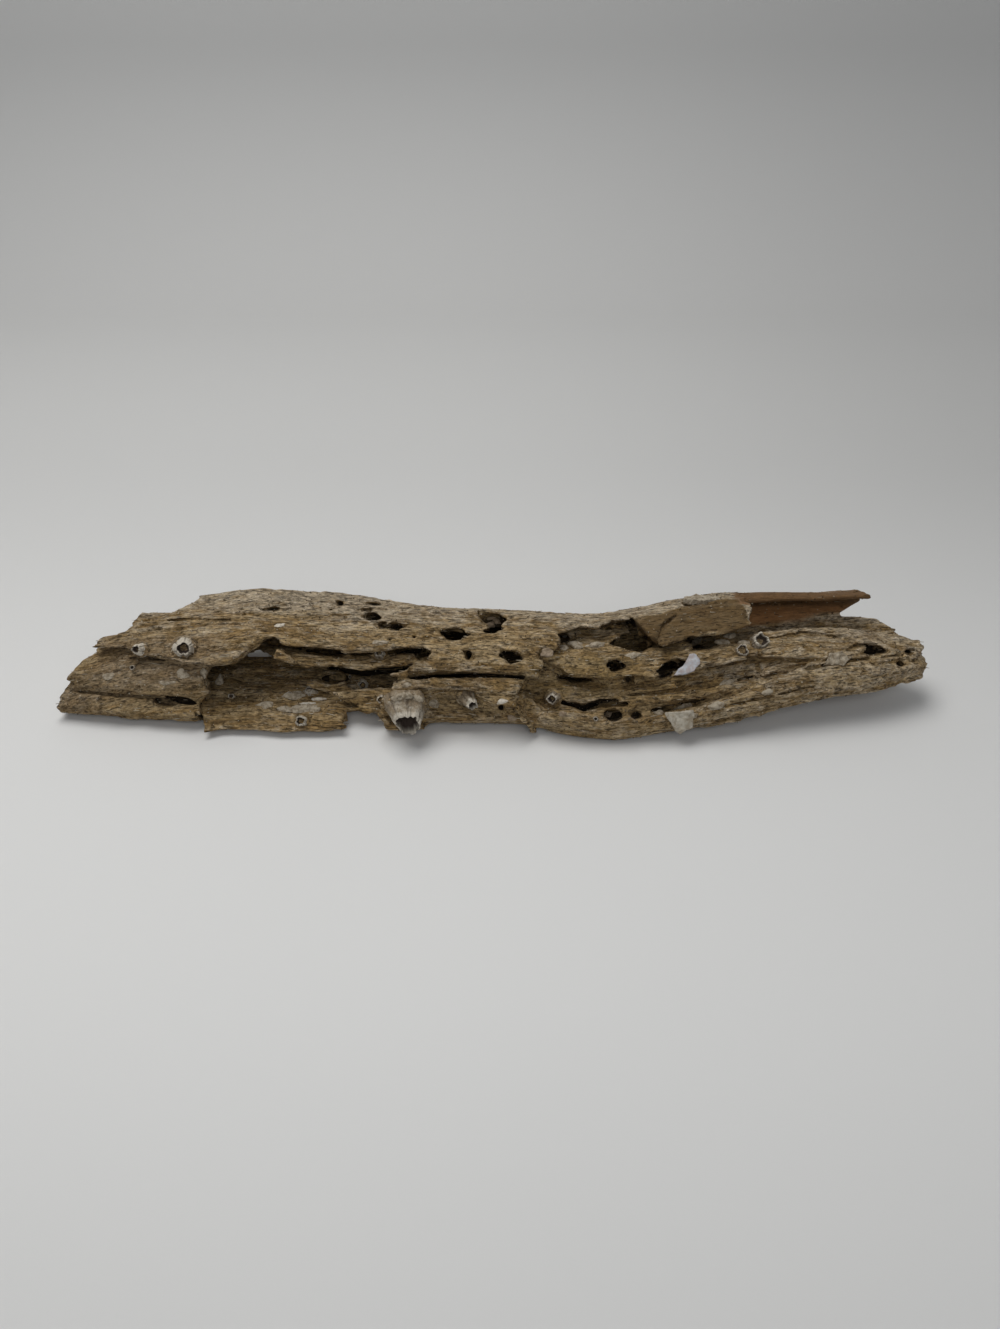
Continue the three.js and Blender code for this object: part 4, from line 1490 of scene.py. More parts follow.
@dataclass
class Driftwood:
    """The log itself, carved on a grid and skinned."""

    step: float
    coarse_step: float
    budget: int = 190_000
    near_reach: Point = (1.0, 2.2)
    far_reach: Point = (2.0, 6.0)
    crown: Point = (20.0, 36.0)
    finger: Point = (70.0, 150.0)
    flap_level: Point = (4.0, 7.0)
    shell_start: Point = (111.0, 114.0)
    shell_level: Point = (5.0, 20.0)
    rim: Point = (36.0, 38.0)
    rind: Point = (38.0, 39.5)
    ledge_along: Triple = (112.0, 150.0, 161.0)
    ledge_rise: Triple = (26.0, 30.0, 34.0)
    gold_middle: Point = (36.0, 4.0)
    gold_reach: Point = (34.0, 15.0)
    rot_start: float = -105.0
    rot_length: float = 40.0
    rot_top: float = 26.0

    def build(self, finish: bpy.types.Material) -> bpy.types.Object:
        """Builds the log.

        Args:
            finish: its material.

        Returns:
            The piece.
        """
        wood = WoodField(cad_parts["driftwood"], self.step, self.coarse_step)
        carver = Carver(wood)
        values = carver.carve()
        points, squares = largest_part(*net(values, wood.low, self.step))
        LOG.info("driftwood: %d squares before thinning", len(squares))
        piece = mesh_object("driftwood_skin", (points + DRAWING_ZERO) * MM, squares)
        share = self.budget / (2 * len(squares))
        if share < 1:
            thinning = piece.modifiers.new("thinning", "DECIMATE")
            thinning.ratio = share
            baked(piece)
        self.measure(piece, carver, values)
        piece.data.materials.append(finish)
        piece.data.polygons.foreach_set("use_smooth", [True] * len(piece.data.polygons))
        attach(piece, "root")
        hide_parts("driftwood")
        return piece

    def measure(self, piece: bpy.types.Object, carver: Carver, values: np.ndarray) -> None:
        """Stores what the wood's finish needs to know at each point.

        Args:
            piece: the thinned skin.
            carver: the cutters and the grid.
            values: the carved field.
        """
        places = points_of(piece) / MM - DRAWING_ZERO
        normals = points_of(piece, "normal")
        across, up = SPINE.offset(places[:, 0])
        store(piece, "grain", (places - np.stack([0 * across, across, up], 1)) * MM)
        near, far = (crowding(carver.wood, values, places + normals * lift, radius)
                     for lift, radius in (self.near_reach, self.far_reach))
        # Painted shade: the more wood crowds around a point, the darker it is painted, as shade in creases,
        # hollows and under overhangs.
        cavity_shade = np.clip((near - 0.46) * 2.8, 0, 1) * 0.75 + np.clip((far - 0.56) * 2.4, 0, 1) * 0.4
        rise = places @ SLOPE_UP
        x = places[:, 0]
        slow = Noise(Grain.SWELL, 5).at(places)
        out = places @ SLOPE_OUT
        top = ramp(rise, self.crown) * np.clip(normals[:, 2] * 1.2 + 0.3, 0, 1)
        finger = ramp(x, self.finger) * 0.28
        edges = np.clip((0.40 - near) * 3, 0, 1) * 0.5
        flap = np.clip(0.5 - outline_distance(PLATES[0].outline, x, rise), 0, 1)
        flap = flap * ramp(out, self.flap_level)
        silver = np.maximum(top * 0.55, finger) + edges + 0.25 * slow - flap
        store(piece, "silvered", np.clip(silver, 0, 1))
        facing = np.clip((normals @ SLOPE_OUT) * 3 + 0.1, 0, 1)
        reach = self.shell_level[0] + (self.shell_level[1] - self.shell_level[0]) * ramp(rise, self.rim)
        shell = np.clip((reach - out) / 3, 0, 1) * ramp(x, self.shell_start)
        ledge = np.interp(x, self.ledge_along, self.ledge_rise) + 1.5 * slow
        store(piece, "heart", shell * np.clip((rise - ledge) / 2.5, 0, 1) * facing)
        # A dark umber tint on the lifted flap, and painted shade on the back shell's top rim where it faces
        # the front.
        store(piece, "dark_tint_and_painted_shade", np.maximum(flap, shell * ramp(rise, self.rind) * facing))
        gone = np.hypot((x - self.gold_middle[0]) / self.gold_reach[0],
                        (rise - self.gold_middle[1]) / self.gold_reach[1])
        golden = np.clip(1 - gone, 0, 1)
        store(piece, "golden", np.clip(golden * 2.4 * np.clip(1 + slow, 0, 1), 0, 1))
        left = ramp(self.rot_start - x, (0, self.rot_length)) * ramp(self.rot_top - rise, (0, 6)) * 0.5
        store(piece, "rotten", np.clip(left + 0.4 * slow + np.clip((far - 0.5) * 2, 0, 0.5), 0, 1))
        # Painted shade deep inside bores and cracks is added to it.
        inside = carver.painted_shade_of(x, rise, out) * np.clip((normals @ SLOPE_OUT) * 3 + 1.2, 0, 1)
        store(piece, "cavity_shade", np.clip(cavity_shade + inside * 0.9, 0, 1))


def crowding(wood: WoodField, values: np.ndarray, places: np.ndarray, radius: float) -> np.ndarray:
    """Measures how much wood lies around each place.

    Args:
        wood: the grid.
        values: the carved field.
        places: places in drawing mm.
        radius: half the side of the box that is looked at.

    Returns:
        The share of the box that is wood.
    """
    share = (values < 0).astype(np.float32)
    half = max(1, round(radius / wood.step / math.sqrt(2)))
    for axis in range(3):
        for _ in range(2):
            width = [(0, 0)] * 3
            width[axis] = (half + 1, half)
            total = np.cumsum(np.pad(share, width, mode="edge"), axis=axis, dtype=np.float64)
            span = 2 * half + 1
            upper = np.take(total, np.arange(span, total.shape[axis]), axis=axis)
            lower = np.take(total, np.arange(0, total.shape[axis] - span), axis=axis)
            share = ((upper - lower) / span).astype(np.float32)
    return wood.sample(share, wood.low, wood.step, [places[:, k] for k in range(3)])


class ShellTree(Graph):
    """A Geometry Nodes tree that makes one barnacle from its radius, height, mouth, rim and seed."""

    INPUTS = ("Radius", "Height", "Mouth", "Ragged", "Seed")
    AROUND = 91
    PROFILE = 36
    MERGE = 0.02 * MM
    SEAMS = 3.0
    RIBS = 17.0
    # Shares of the way from the middle of the foot, up the wall, over the lip and down inside.
    BASE_END = 0.05
    FOOT_END = 0.09
    WALL_END = 0.58
    LIP_END = 0.66

    def __init__(self, finish: bpy.types.Material) -> None:
        """Builds the tree.

        Args:
            finish: the shell's material.
        """
        super().__init__(bpy.data.node_groups.new("acorn_barnacle", "GeometryNodeTree"))
        self.tree.interface.new_socket(name="Geometry", in_out="OUTPUT", socket_type="NodeSocketGeometry")
        self.keys = {}
        for name in self.INPUTS:
            held = self.tree.interface.new_socket(name=name, in_out="INPUT", socket_type="NodeSocketFloat")
            self.keys[name] = held.identifier
        entry = self.tree.nodes.new("NodeGroupInput")
        radius, height, mouth, ragged, seed = (Shade(self, entry.outputs[name]) for name in self.INPUTS)
        sizes = {"Size X": 1.0, "Size Y": 1.0, "Vertices X": self.AROUND, "Vertices Y": self.PROFILE}
        grid = self.node("GeometryNodeMeshGrid", {}, sizes)
        place = self.node("GeometryNodeInputPosition")
        parts = [self.node("ShaderNodeSeparateXYZ", {}, {0: place}, axis) for axis in "XY"]
        turn = (parts[0] + 0.5) * math.tau
        way = parts[1] + 0.5
        base, rise = way.share(0.0, self.BASE_END), way.share(self.FOOT_END, self.WALL_END)
        foot, lip = way.share(self.BASE_END, self.FOOT_END), way.share(self.WALL_END, self.LIP_END)
        inner = way.share(self.LIP_END, 1.0)
        cosine, sine = turn.turned(), turn.wave()
        ring = self.vector(cosine * 1.3 + seed * 7.3, sine * 1.3, seed)
        slow = self.ripple(ring, 0.8, 1.0)
        quick = self.ripple(ring, 4.2, 2.0)
        around = turn * self.SEAMS + slow * 2.6 + seed
        seam = 1 - around.wave().size().share(0.0, 0.30)
        rib = (turn * self.RIBS + slow * 14.0 + seed * 2.0).wave() * (0.4 + quick)
        wide = base * (1 - (1 - mouth) * rise ** 0.8) * (1 - lip * 0.12) * (1 - inner ** 1.8)
        ribbed = (rib * 0.03 - seam * 0.08) * (1 - inner)
        shaped = wide * (1 + slow * (0.5 + rise * 0.5) + quick * 0.3 * rise + ribbed)
        level = foot * 0.3 - 0.3 + rise * (0.94 + lip * 0.06) - inner ** 0.7 * 0.9
        bite = self.ripple(self.vector(cosine * 1.3 + seed, sine * 1.3, seed * 3.1), 1.7, 1.0)
        torn = (bite * 2.6 + slow * 0.9 - seam * 0.35 - 0.5) * ragged * rise ** 2 * (1 - inner)
        reach = shaped * radius
        spot = self.vector(reach * cosine, reach * sine, (level + torn) * height)
        marked = grid
        edge = way.share(0.46, 0.6) * (1 - inner)
        # inner marks the inside of the mouth, which the shell's finish paints with shade.
        marks = {"inner": inner.share(0.02, 0.2), "seams": seam * (1 - inner), "foot": 1 - rise,
                 "edge": edge}
        for name, value in marks.items():
            marked = self.node("GeometryNodeStoreNamedAttribute", {"data_type": "FLOAT", "domain": "POINT"},
                               {"Geometry": marked, "Name": name, "Value": value})
        moved = self.node("GeometryNodeSetPosition", {}, {"Geometry": marked, "Position": spot})
        joined = self.node("GeometryNodeMergeByDistance", {}, {"Geometry": moved, "Distance": self.MERGE})
        lumps = self.bumps(radius, seed)
        rough = self.node("GeometryNodeSetPosition", {}, {"Geometry": joined, "Offset": lumps})
        solid = self.node("GeometryNodeRealizeInstances", {}, {"Geometry": rough})
        painted = self.node("GeometryNodeSetMaterial", {}, {"Geometry": solid, "Material": finish})
        end = self.tree.nodes.new("NodeGroupOutput")
        self.tree.links.new(painted.socket, end.inputs[0])

    def vector(self, x: Shade, y: Shade, z: Shade) -> Shade:
        """Joins three numbers into a vector."""
        return self.node("ShaderNodeCombineXYZ", {}, {"X": x, "Y": y, "Z": z})

    def ripple(self, place: Shade, scale: float, detail: float) -> Shade:
        """Adds noise around zero."""
        values = {"Vector": place, "Scale": scale, "Detail": detail}
        return self.node("ShaderNodeTexNoise", {}, values, "Fac") - 0.5

    def bumps(self, radius: Shade, seed: Shade) -> Shade:
        """Makes the lumps of a worn shell.

        Args:
            radius: the shell's radius.
            seed: what makes it differ.

        Returns:
            How far each point moves along its normal.
        """
        place = self.node("GeometryNodeInputPosition")
        values = {"Vector": place, "W": seed, "Scale": 1.5 / radius, "Detail": 5.0, "Roughness": 0.66}
        lumps = self.node("ShaderNodeTexNoise", {"noise_dimensions": "4D"}, values, "Fac") - 0.5
        normal = self.node("GeometryNodeInputNormal")
        values = {0: normal, "Scale": lumps * radius * 0.42}
        return self.node("ShaderNodeVectorMath", {"operation": "SCALE"}, values)

    def grow(self, name: str, radius: float, height: float, mouth: float, ragged: float,
             seed: float) -> bpy.types.Object:
        """Makes one barnacle, standing on its own origin.

        Args:
            name: the object's name.
            radius: its radius at the foot, in metres.
            height: its height, in metres.
            mouth: the share of its radius that is open.
            ragged: the share of its height that its rim varies by.
            seed: what makes it differ from the others.

        Returns:
            The plain mesh object.
        """
        piece = linked(name, bpy.data.meshes.new(name))
        made = piece.modifiers.new("shell", "NODES")
        made.node_group = self.tree
        for key, value in zip(self.INPUTS, (radius, height, mouth, ragged, seed)):
            made[self.keys[key]] = value
        baked(piece)
        face_outwards(piece)
        return piece


class GritTree(Graph):
    """A Geometry Nodes tree that scatters sand grains or splinters over the wood."""

    INPUTS = ("Wood", "Density", "Seed", "Smallest", "Largest", "Turn Low", "Turn High")
    KINDS = ("Geometry", "Float", "Int", "Vector", "Vector", "Vector", "Vector")
    LOWEST = 2.2 * MM
    SIZE_SEED = 3
    TURN_SEED = 5
    TONE_SEED = 7

    def __init__(self, name: str, finish: bpy.types.Material) -> None:
        """Builds the tree.

        Args:
            name: the tree's name.
            finish: the grains' material.
        """
        super().__init__(bpy.data.node_groups.new(name, "GeometryNodeTree"))
        self.tree.interface.new_socket(name="Geometry", in_out="OUTPUT", socket_type="NodeSocketGeometry")
        self.keys = {}
        for label, kind in zip(self.INPUTS, self.KINDS):
            kind = f"NodeSocket{kind}"
            held = self.tree.interface.new_socket(name=label, in_out="INPUT", socket_type=kind)
            self.keys[label] = held.identifier
        entry = self.tree.nodes.new("NodeGroupInput")
        wood, density, seed, small, large, low, high = (Shade(self, entry.outputs[n]) for n in self.INPUTS)
        place = self.node("GeometryNodeInputPosition")
        height = self.node("ShaderNodeSeparateXYZ", {}, {0: place}, "Z")
        clear = self.node("ShaderNodeMath", {"operation": "GREATER_THAN"}, {0: height, 1: self.LOWEST})
        spots = self.node("GeometryNodeDistributePointsOnFaces", {},
                          {"Mesh": wood, "Selection": clear, "Density": density, "Seed": seed}, "Points")
        grain = self.node("GeometryNodeMeshIcoSphere", {}, {"Radius": 1.0, "Subdivisions": 1})
        scale = self.chance("FLOAT_VECTOR", {"Min": small, "Max": large, "Seed": self.SIZE_SEED})
        turn = self.chance("FLOAT_VECTOR", {"Min": low, "Max": high, "Seed": self.TURN_SEED})
        laid = self.node("GeometryNodeInstanceOnPoints", {},
                         {"Points": spots, "Instance": grain, "Rotation": turn, "Scale": scale})
        tone = self.chance("FLOAT", {"Seed": self.TONE_SEED}, "Value_001")
        toned = self.node("GeometryNodeStoreNamedAttribute", {"data_type": "FLOAT", "domain": "INSTANCE"},
                          {"Geometry": laid, "Name": "tone", "Value": tone})
        solid = self.node("GeometryNodeRealizeInstances", {}, {"Geometry": toned})
        painted = self.node("GeometryNodeSetMaterial", {}, {"Geometry": solid, "Material": finish})
        end = self.tree.nodes.new("NodeGroupOutput")
        self.tree.links.new(painted.socket, end.inputs[0])

    def chance(self, kind: str, inputs: dict, output: int | str = 0) -> Shade:
        """Adds a random value of a kind."""
        return self.node("FunctionNodeRandomValue", {"data_type": kind}, inputs, output)


@dataclass(frozen=True)
class Grit:
    """What lies loose on the wood: its name, its number per square metre, its sizes in mm and its turns."""

    name: str
    density: float
    seed: int
    smallest: Triple
    largest: Triple
    turn_low: Triple
    turn_high: Triple

    def build(self, wood: bpy.types.Object, finish: bpy.types.Material) -> bpy.types.Object:
        """Scatters it.

        Args:
            wood: the log's skin.
            finish: the grains' material.

        Returns:
            The piece.
        """
        tree = GritTree(self.name, finish)
        piece = linked(self.name, wood.data.copy())
        made = piece.modifiers.new("scatter", "NODES")
        made.node_group = tree.tree
        sizes = [tuple(v * MM for v in size) for size in (self.smallest, self.largest)]
        values = (self.density, self.seed, *sizes, self.turn_low, self.turn_high)
        for label, value in zip(tree.INPUTS[1:], values):
            made[tree.keys[label]] = value
        baked(piece)
        face_outwards(piece)
        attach(piece, "root")
        return piece


GRITS = (
    Grit("sand_grains", 42_000, 4, (0.18, 0.15, 0.12), (0.62, 0.5, 0.4), (0, 0, 0), (6.2, 6.2, 6.2)),
    Grit("wood_splinters", 12_000, 8, (0.9, 0.12, 0.1), (3.4, 0.3, 0.26),
         (-0.3, -0.12, -0.22), (0.3, 0.12, 0.22)),
)


@dataclass(frozen=True)
class GritFinish:
    """Loose grains, from dark bark crumbs to pale sand."""

    dark: Colour = (0.075, 0.050, 0.028)
    pale: Colour = (0.50, 0.43, 0.32)

    def material(self) -> bpy.types.Material:
        """Builds the material.

        Returns:
            The material.
        """
        paint = Paint("loose_grit")
        tone = paint.number("tone")
        speck = paint.noise(paint.place(), (0.5, 0.4, 0.4), 3, 0.6)
        colour = paint.mix((tone + (speck - 0.5) * 0.6).band(0.3, 1.0), self.dark, self.pale)
        normal = paint.bump(speck, 0.0002, 0.6)
        return paint.finish(colour, 0.95 - tone * 0.1, normal, Specular_IOR_Level=0.25)


class Settler(Enum):
    """What a small thing is; the value is the piece that holds its kind."""

    RING = "young_barnacles"
    WHITE = "white_chips"
    TAN = "tan_lumps"
    CRUST = "crust_lumps"


RING, WHITE, TAN, CRUST = Settler


@dataclass(frozen=True)
class Speck:
    """A small thing: its kind, its place on the drawing plane, its reach in mm and its turn."""

    kind: Settler
    at: Point
    size: Triple
    turn: float = 0.0


SPECKS = (
    Speck(RING, (-166.5, 8.3), (1.5, 1.5, 1.6)),
    Speck(RING, (42.3, -14.2), (1.4, 1.4, 1.4)),
    Speck(RING, (-71.8, 3.8), (1.2, 1.2, 1.2)),
    Speck(RING, (-125, -5.2), (2.0, 2.0, 0.9)),
    Speck(RING, (-98, -4.4), (2.0, 2.0, 1.3)),
    Speck(CRUST, (-144, 4.7), (3.0, 2.5, 0.7), 10),
    Speck(CRUST, (-178, 4.2), (3.2, 1.5, 0.5), 14),
    Speck(CRUST, (-151, 1.6), (3.6, 1.2, 0.5), 4),
    Speck(WHITE, (-100.7, 27.5), (2.1, 1.3, 0.6), 5),
    Speck(WHITE, (0.9, -6.6), (2.3, 1.0, 0.9), 8),
    Speck(WHITE, (31.5, 23.6), (0.9, 0.8, 0.6)),
    Speck(WHITE, (-60.5, 31.0), (2.9, 0.9, 0.8), -6),
    Speck(WHITE, (-88, -8.2), (3.6, 0.7, 0.5), 1),
    Speck(WHITE, (-102.3, 12.6), (1.2, 1.1, 0.8), 20),
    Speck(TAN, (-5.2, 28.4), (2.6, 1.7, 1.6), 20),
    Speck(TAN, (-1.6, 30.6), (2.0, 1.5, 1.5), -30),
    Speck(TAN, (-4.4, 31.8), (2.4, 0.9, 1.2), 10),
    Speck(TAN, (5.4, -14.2), (2.4, 1.5, 1.4), -10),
    Speck(TAN, (49.5, -13.3), (2.2, 1.4, 1.6), 30),
    Speck(TAN, (28, -12), (1.6, 1.1, 1.0)),
    Speck(CRUST, (35, 19.0), (4.4, 2.0, 1.4), -8),
    Speck(CRUST, (43, 18.4), (3.6, 1.5, 1.1), 6),
    Speck(CRUST, (29, 17.0), (2.4, 1.6, 1.1), -20),
    Speck(CRUST, (97, 21.4), (3.0, 1.7, 1.8), 20),
    Speck(CRUST, (103, 19.6), (3.4, 1.5, 1.4), -15),
    Speck(CRUST, (107, 22.4), (2.6, 1.7, 1.5), 30),
    Speck(CRUST, (112, 19.6), (3.0, 1.4, 1.2)),
    Speck(CRUST, (120, -2.4), (2.4, 1.4, 0.9), 15),
    Speck(CRUST, (96, -8.6), (3.0, 1.7, 1.0), 12),
    Speck(CRUST, (84, -12.8), (3.4, 1.6, 1.0), 5),
    Speck(CRUST, (72, -12.2), (2.4, 1.4, 0.9), -10),
    Speck(CRUST, (103, 1.4), (3.6, 1.3, 1.0), 22),
    Speck(CRUST, (-95, -4.8), (5.0, 2.2, 0.8), 4),
    Speck(CRUST, (-88, -3.2), (3.4, 1.6, 0.9), -12),
    Speck(CRUST, (-108, -9.0), (3.8, 2.0, 0.5), 6),
    Speck(CRUST, (-99, -11.5), (3.0, 1.8, 0.5), -6),
    Speck(WHITE, (-84.5, -6.4), (3.0, 0.9, 0.9), 2),
    Speck(CRUST, (-40, 1.0), (3.6, 1.5, 0.9), 4),
    Speck(CRUST, (-54, 19.6), (4.0, 1.5, 1.2), 3),
    Speck(CRUST, (-30, -8.6), (3.0, 2.0, 1.0), -20),
    Speck(CRUST, (60, 13.8), (3.6, 1.4, 0.9), 10),
    Speck(CRUST, (-45, -4.8), (2.8, 1.7, 2.0), 20),
    Speck(CRUST, (-40.6, -3.8), (3.2, 1.6, 2.2), -6),
    Speck(CRUST, (-36.2, -5.2), (2.6, 1.8, 1.8), -25),
    Speck(CRUST, (84, -9.6), (3.6, 1.5, 1.2), 10),
    Speck(CRUST, (-133, 1.6), (1.6, 2.8, 1.6)),
    Speck(CRUST, (-134.4, 6.2), (1.5, 2.2, 1.4)),
)


# The level, out of the drawing plane, that specks are dropped from, and the first lump's seed.
ABOVE = 90
LUMP_SEED = 200

# What every young barnacle shares.
YOUNG = Barnacle("", 0.6, 0.3, 0.45, 20.0)


def lump(name: str, speck: Speck, seed: int) -> bpy.types.Object:
    """Makes a rough little lump on its own origin, with its short way up.

    Args:
        name: its name.
        speck: its sizes.
        seed: what makes it differ.

    Returns:
        The plain mesh object.
    """
    held = bmesh.new()
    bmesh.ops.create_icosphere(held, subdivisions=4, radius=1.0)
    piece = linked(name, bpy.data.meshes.new(name))
    held.to_mesh(piece.data)
    held.free()
    places = points_of(piece)
    slow = Noise(Grain.CRUMB, seed).at(places * (3.4, 2.4, 2.4))
    quick = Noise(Grain.CRUMB, seed + 1).at(places * (9, 6, 6))
    places *= (1 + 0.42 * slow + 0.2 * quick)[:, None] * np.array(speck.size) * MM
    piece.data.vertices.foreach_set("co", places.ravel())
    return piece


def build_specks(wood: bpy.types.Object, tree: ShellTree) -> list[bpy.types.Object]:
    """Settles the small things on the wood and joins each kind.

    Args:
        wood: the log's skin.
        tree: the tree that grows barnacles.

    Returns:
        The joined pieces.
    """
    faces = [face.vertices for face in wood.data.polygons]
    skin = BVHTree.FromPolygons([point.co for point in wood.data.vertices], faces)
    kinds: dict[Settler, list[bpy.types.Object]] = {kind: [] for kind in Settler}
    finishes = {WHITE: WHITE_CHIP, TAN: TAN_CHIP, CRUST: SALT_CRUST}
    for k, speck in enumerate(SPECKS):
        origin = (DRAWING_ZERO + (speck.at[0], 0, 0) + speck.at[1] * SLOPE_UP + ABOVE * SLOPE_OUT) * MM
        spot, normal, _, _ = skin.ray_cast(Vector(origin), Vector(-SLOPE_OUT))
        if spot is None:
            LOG.warning("speck %d at %s meets no wood", k, speck.at)
            continue
        along, _, out = (v * MM for v in speck.size)
        if speck.kind is RING:
            piece = tree.grow(f"speck_{k}", along, out, YOUNG.mouth, YOUNG.ragged, YOUNG.seed + k)
            store(piece, "stained", np.full(len(piece.data.vertices), YOUNG.stained))
        else:
            piece = lump(f"speck_{k}", speck, LUMP_SEED + 2 * k)
        way = (normal + Vector(SLOPE_OUT)).normalized()
        side = Vector((1, 0, 0)) - way * way.x
        basis = Matrix((side.normalized(), way.cross(side).normalized(), way)).transposed().to_4x4()
        twist = Matrix.Rotation(math.radians(speck.turn), 4, "Z")
        piece.data.transform(Matrix.Translation(spot) @ basis @ twist)
        kinds[speck.kind].append(piece)
    joined = []
    for kind, pieces in kinds.items():
        first = pieces[0]
        with bpy.context.temp_override(active_object=first, selected_editable_objects=pieces):
            bpy.ops.object.join()
        first.name = kind.value
        if kind is not RING:
            first.data.materials.append(finishes[kind].material())
        face_outwards(first)
        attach(first, "root")
        joined.append(first)
    return joined


def face_outwards(piece: bpy.types.Object) -> None:
    """Turns every face of a closed mesh outwards and shades it smooth.

    Args:
        piece: the object.
    """
    held = bmesh.new()
    held.from_mesh(piece.data)
    bmesh.ops.recalc_face_normals(held, faces=held.faces)
    for face in held.faces:
        face.smooth = True
    held.to_mesh(piece.data)
    held.free()


def lean_mouth(piece: bpy.types.Object, seat: Seat, shell: Barnacle) -> None:
    """Leans a barnacle's mouth over and wears down the rim nearest the viewer.

    Args:
        piece: the barnacle in its place.
        seat: where it sits.
        shell: how it leans and is worn.
    """
    places = points_of(piece)
    offset = places - seat.base
    height = np.clip(offset @ seat.axis / seat.height, 0, 1)[:, None]
    side = (shell.lean[0] * np.array([1.0, 0, 0]) + shell.lean[1] * SLOPE_UP) * seat.radius
    near = SLOPE_OUT - seat.axis * (SLOPE_OUT @ seat.axis)
    share = (offset @ near)[:, None] / (np.linalg.norm(near) + 0.01)
    places += height * side - height**2 * shell.worn * np.maximum(share, -seat.radius * 0.2) * seat.axis
    piece.data.vertices.foreach_set("co", places.ravel())
    piece.data.update()


def build_barnacles(tree: ShellTree) -> list[bpy.types.Object]:
    """Grows each barnacle on its own seat.

    Args:
        tree: the tree that grows them.

    Returns:
        The pieces.
    """
    pieces = []
    for shell in BARNACLES:
        seat = Seat.of(shell.node)
        name = f"{shell.node}_shell"
        radius, height = seat.radius * GROWN[0], seat.height * GROWN[1]
        piece = tree.grow(name, radius, height, shell.mouth, shell.ragged, shell.seed)
        turn = Vector(seat.axis).to_track_quat("Z", "Y").to_matrix().to_4x4()
        piece.data.transform(Matrix.Translation(Vector(seat.base)) @ turn)
        lean_mouth(piece, seat, shell)
        store(piece, "stained", np.full(len(piece.data.vertices), shell.stained))
        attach(piece, "root")
        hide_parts(shell.node)
        pieces.append(piece)
    return pieces


@dataclass(frozen=True)
class Scrap:
    """A scrap or crust on the wood: its CAD node, slot and finish.

    Then come how rough it is and how wide its lumps are, in mm, and the share of its size that is left.
    """

    node: str
    slot: str
    finish: ScrapFinish
    rough: float
    cell: float
    scale: float = 1.0


SCRAPS = (
    Scrap("shell_pearly", "pearly_shell", PEARLY_SHELL, 0.3, 2.4, 0.84),
    Scrap("shell_plate_hanging", "barnacle_shell", CHALKY_SHELL, 0.6, 2.2, 0.93),
    Scrap("shell_pebble", "barnacle_shell", TAN_CHIP, 0.45, 2.0, 0.85),
    Scrap("crust_rim", "salt_crust", SALT_CRUST, 0.7, 1.6),
    Scrap("crust_finger", "salt_crust", SALT_CRUST, 0.7, 1.6),
    Scrap("crust_flap", "salt_crust", SALT_CRUST, 0.7, 1.8),
)


def build_scraps() -> list[bpy.types.Object]:
    """Wears each scrap's solid down to its real shape.

    Returns:
        The pieces.
    """
    finishes = {scrap.finish.name: scrap.finish.material() for scrap in SCRAPS}
    pieces = []
    for k, scrap in enumerate(SCRAPS):
        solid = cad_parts[scrap.node]
        piece = linked(f"{scrap.node}_worn", solid.data.copy())
        held = bmesh.new()
        held.from_mesh(piece.data)
        bmesh.ops.remove_doubles(held, verts=held.verts, dist=0.01 * MM)
        held.to_mesh(piece.data)
        held.free()
        remesh = piece.modifiers.new("remesh", "REMESH")
        remesh.mode = "VOXEL"
        remesh.voxel_size = 0.4 * MM
        baked(piece)
        places, normals = points_of(piece) / MM, points_of(piece, "normal")
        middle = places.mean(0)
        ragged = 0.5 + Noise(Grain.CRUMB, 150 + k).at(places * 0.9)
        worn = scrap.scale * (1 - (1 - scrap.scale) * 0.9 * ragged[:, None])
        places = middle + (places - middle) * worn
        scale = np.array(Grain.CRUMB.value) / scrap.cell
        slow = Noise(Grain.CRUMB, 90 + k).at(places * scale)
        quick = Noise(Grain.CRUMB, 120 + k).at(places * scale * 2.3)
        places += normals * (scrap.rough * (slow - 0.25) + scrap.rough * 0.5 * quick)[:, None]
        piece.data.vertices.foreach_set("co", (places * MM).ravel())
        piece.data.materials.clear()
        piece.data.materials.append(finishes[scrap.finish.name])
        face_outwards(piece)
        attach(piece, "root")
        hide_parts(scrap.node)
        pieces.append(piece)
    return pieces


@dataclass(frozen=True)
class SoftLight:
    """A soft rectangular light that points at the log: its place and size in metres, power and tint."""

    name: str
    place: Triple
    size: Point
    watts: float
    tint: Colour

    def hang(self) -> None:
        """Hangs the light."""
        data = bpy.data.lights.new(self.name, "AREA")
        data.shape = "RECTANGLE"
        data.size, data.size_y = self.size
        data.energy = self.watts
        data.color = self.tint
        lamp = linked(self.name, data)
        lamp.location = self.place
        lamp.rotation_euler = (-Vector(self.place)).to_track_quat("-Z", "Y").to_euler()


LIGHTS = (
    SoftLight("soft_overhead", (-0.35, 0.22, 1.3), (1.2, 0.8), 12.0, (1.0, 0.985, 0.955)),
    SoftLight("soft_fill", (0.2, -1.5, 1.2), (1.4, 0.9), 7.6, (0.98, 0.985, 1.0)),
)


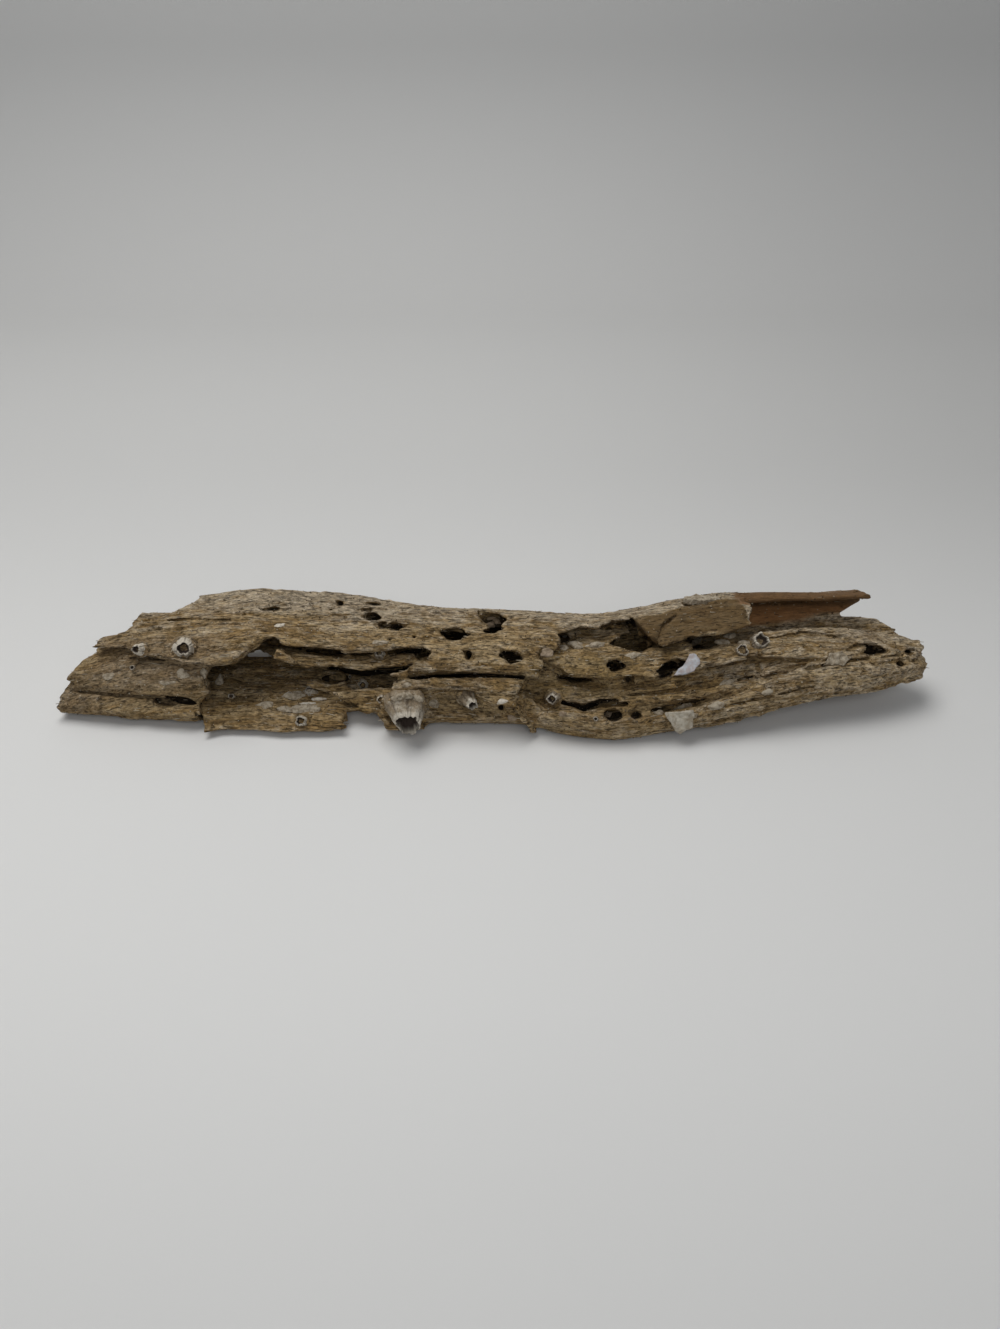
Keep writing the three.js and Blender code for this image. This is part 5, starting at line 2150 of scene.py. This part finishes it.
@dataclass(frozen=True)
class Studio:
    """A pale floor that sweeps up behind, with painted shade where the light falls off, soft light from
    above and the camera, in metres.
    """

    front: float = -4.0
    bend: float = 0.62
    radius: float = 0.22
    top: float = 1.6
    half_width: float = 2.2
    pale: Colour = (0.765, 0.768, 0.766)
    falloff_tone: float = 0.66
    bend_steps: int = 16
    sky: Colour = (0.80, 0.83, 0.86)
    sky_strength: float = 0.17
    sensor: float = 36
    lens: float = 27.09
    clip: Point = (0.01, 20)
    camera: Triple = (0.003, -0.3846, 0.2873)

    def floor(self) -> bpy.types.Object:
        """Builds the floor and its sweep.

        Returns:
            The stage object.
        """
        profile = [(self.front, 0.0), (self.bend, 0.0)]
        for k in range(1, self.bend_steps + 1):
            angle = math.pi / 2 * k / self.bend_steps
            profile.append((self.bend + self.radius * math.sin(angle), self.radius * (1 - math.cos(angle))))
        profile.append((self.bend + self.radius, self.top))
        points, faces = [], []
        for y, z in profile:
            points += [(-self.half_width, y, z), (self.half_width, y, z)]
        for k in range(len(profile) - 1):
            faces.append((2 * k, 2 * k + 1, 2 * k + 3, 2 * k + 2))
        piece = mesh_object("studio_floor", np.array(points), np.array(faces))
        piece.data.polygons.foreach_set("use_smooth", [True] * len(faces))
        paint = Paint("studio_floor")
        place = paint.place()
        mottle = paint.noise(place, (240, 240, 240), 2, 0.5)
        speck = paint.noise(place, (2.5, 2.5, 2.5), 3, 0.6)
        # Painted shade: the floor is painted darker where the light falls off, at the back, the right and
        # the very front.
        away = self.painted_falloff(paint, place)
        colour = paint.mix(mottle * 0.5, self.pale, tuple(0.95 * c for c in self.pale))
        colour = paint.mix(away, colour, tuple(self.falloff_tone * c for c in self.pale))
        piece.data.materials.append(paint.finish(colour, 0.75, paint.bump(speck, 0.0001, 0.3)))
        return piece

    @staticmethod
    def painted_falloff(paint: Paint, place: Shade) -> Shade:
        """Paints shade on the floor towards the back, the right and the very front, where the light falls
        off.

        Args:
            paint: the floor's material.
            place: the object's own coordinates.

        Returns:
            How much painted shade the floor gets.
        """
        along = paint.node("ShaderNodeSeparateXYZ", {}, {0: place}, "X")
        back = paint.node("ShaderNodeSeparateXYZ", {}, {0: place}, "Y")
        behind = back.band(-0.12, 0.3) * 0.62 + back.band(0.2, 0.8) * 0.2
        right = along.band(-0.05, 0.45) * 0.32 * (1 - back.band(0.2, 0.7) * 0.7)
        return behind + right + (1 - back.band(-0.36, -0.14)) * 0.45

    def build(self) -> None:
        """Builds the floor, the lights, the world and the camera."""
        self.floor()
        for light in LIGHTS:
            light.hang()
        world = bpy.data.worlds.new("studio")
        world.use_nodes = True
        sky = world.node_tree.nodes["Background"].inputs
        sky["Color"].default_value = (*self.sky, 1)
        sky["Strength"].default_value = self.sky_strength
        bpy.context.scene.world = world
        bpy.context.scene.view_settings.view_transform = "Standard"
        data = bpy.data.cameras.new("camera")
        data.sensor_width = self.sensor
        data.lens = self.lens
        data.clip_start, data.clip_end = self.clip
        camera = linked("camera", data)
        camera.location = self.camera
        look = Vector((0, math.cos(LEAN), -math.sin(LEAN)))
        camera.rotation_euler = look.to_track_quat("-Z", "Y").to_euler()
        bpy.context.scene.camera = camera


def main() -> None:
    """Builds the stage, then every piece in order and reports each."""
    Studio().build()
    LOG.info("studio built")
    steps = FINE_STEPS
    wood = Driftwood(*steps).build(WeatheredWood().material())
    tree = ShellTree(BarnacleShell().material())
    pieces = [wood, *build_barnacles(tree), *build_specks(wood, tree)]
    grit = GritFinish().material()
    pieces += [kind.build(wood, grit) for kind in GRITS]
    pieces += build_scraps()
    for piece in pieces:
        LOG.info("%s: %d faces", piece.name, len(piece.data.polygons))


if __name__ == "__main__":
    main()
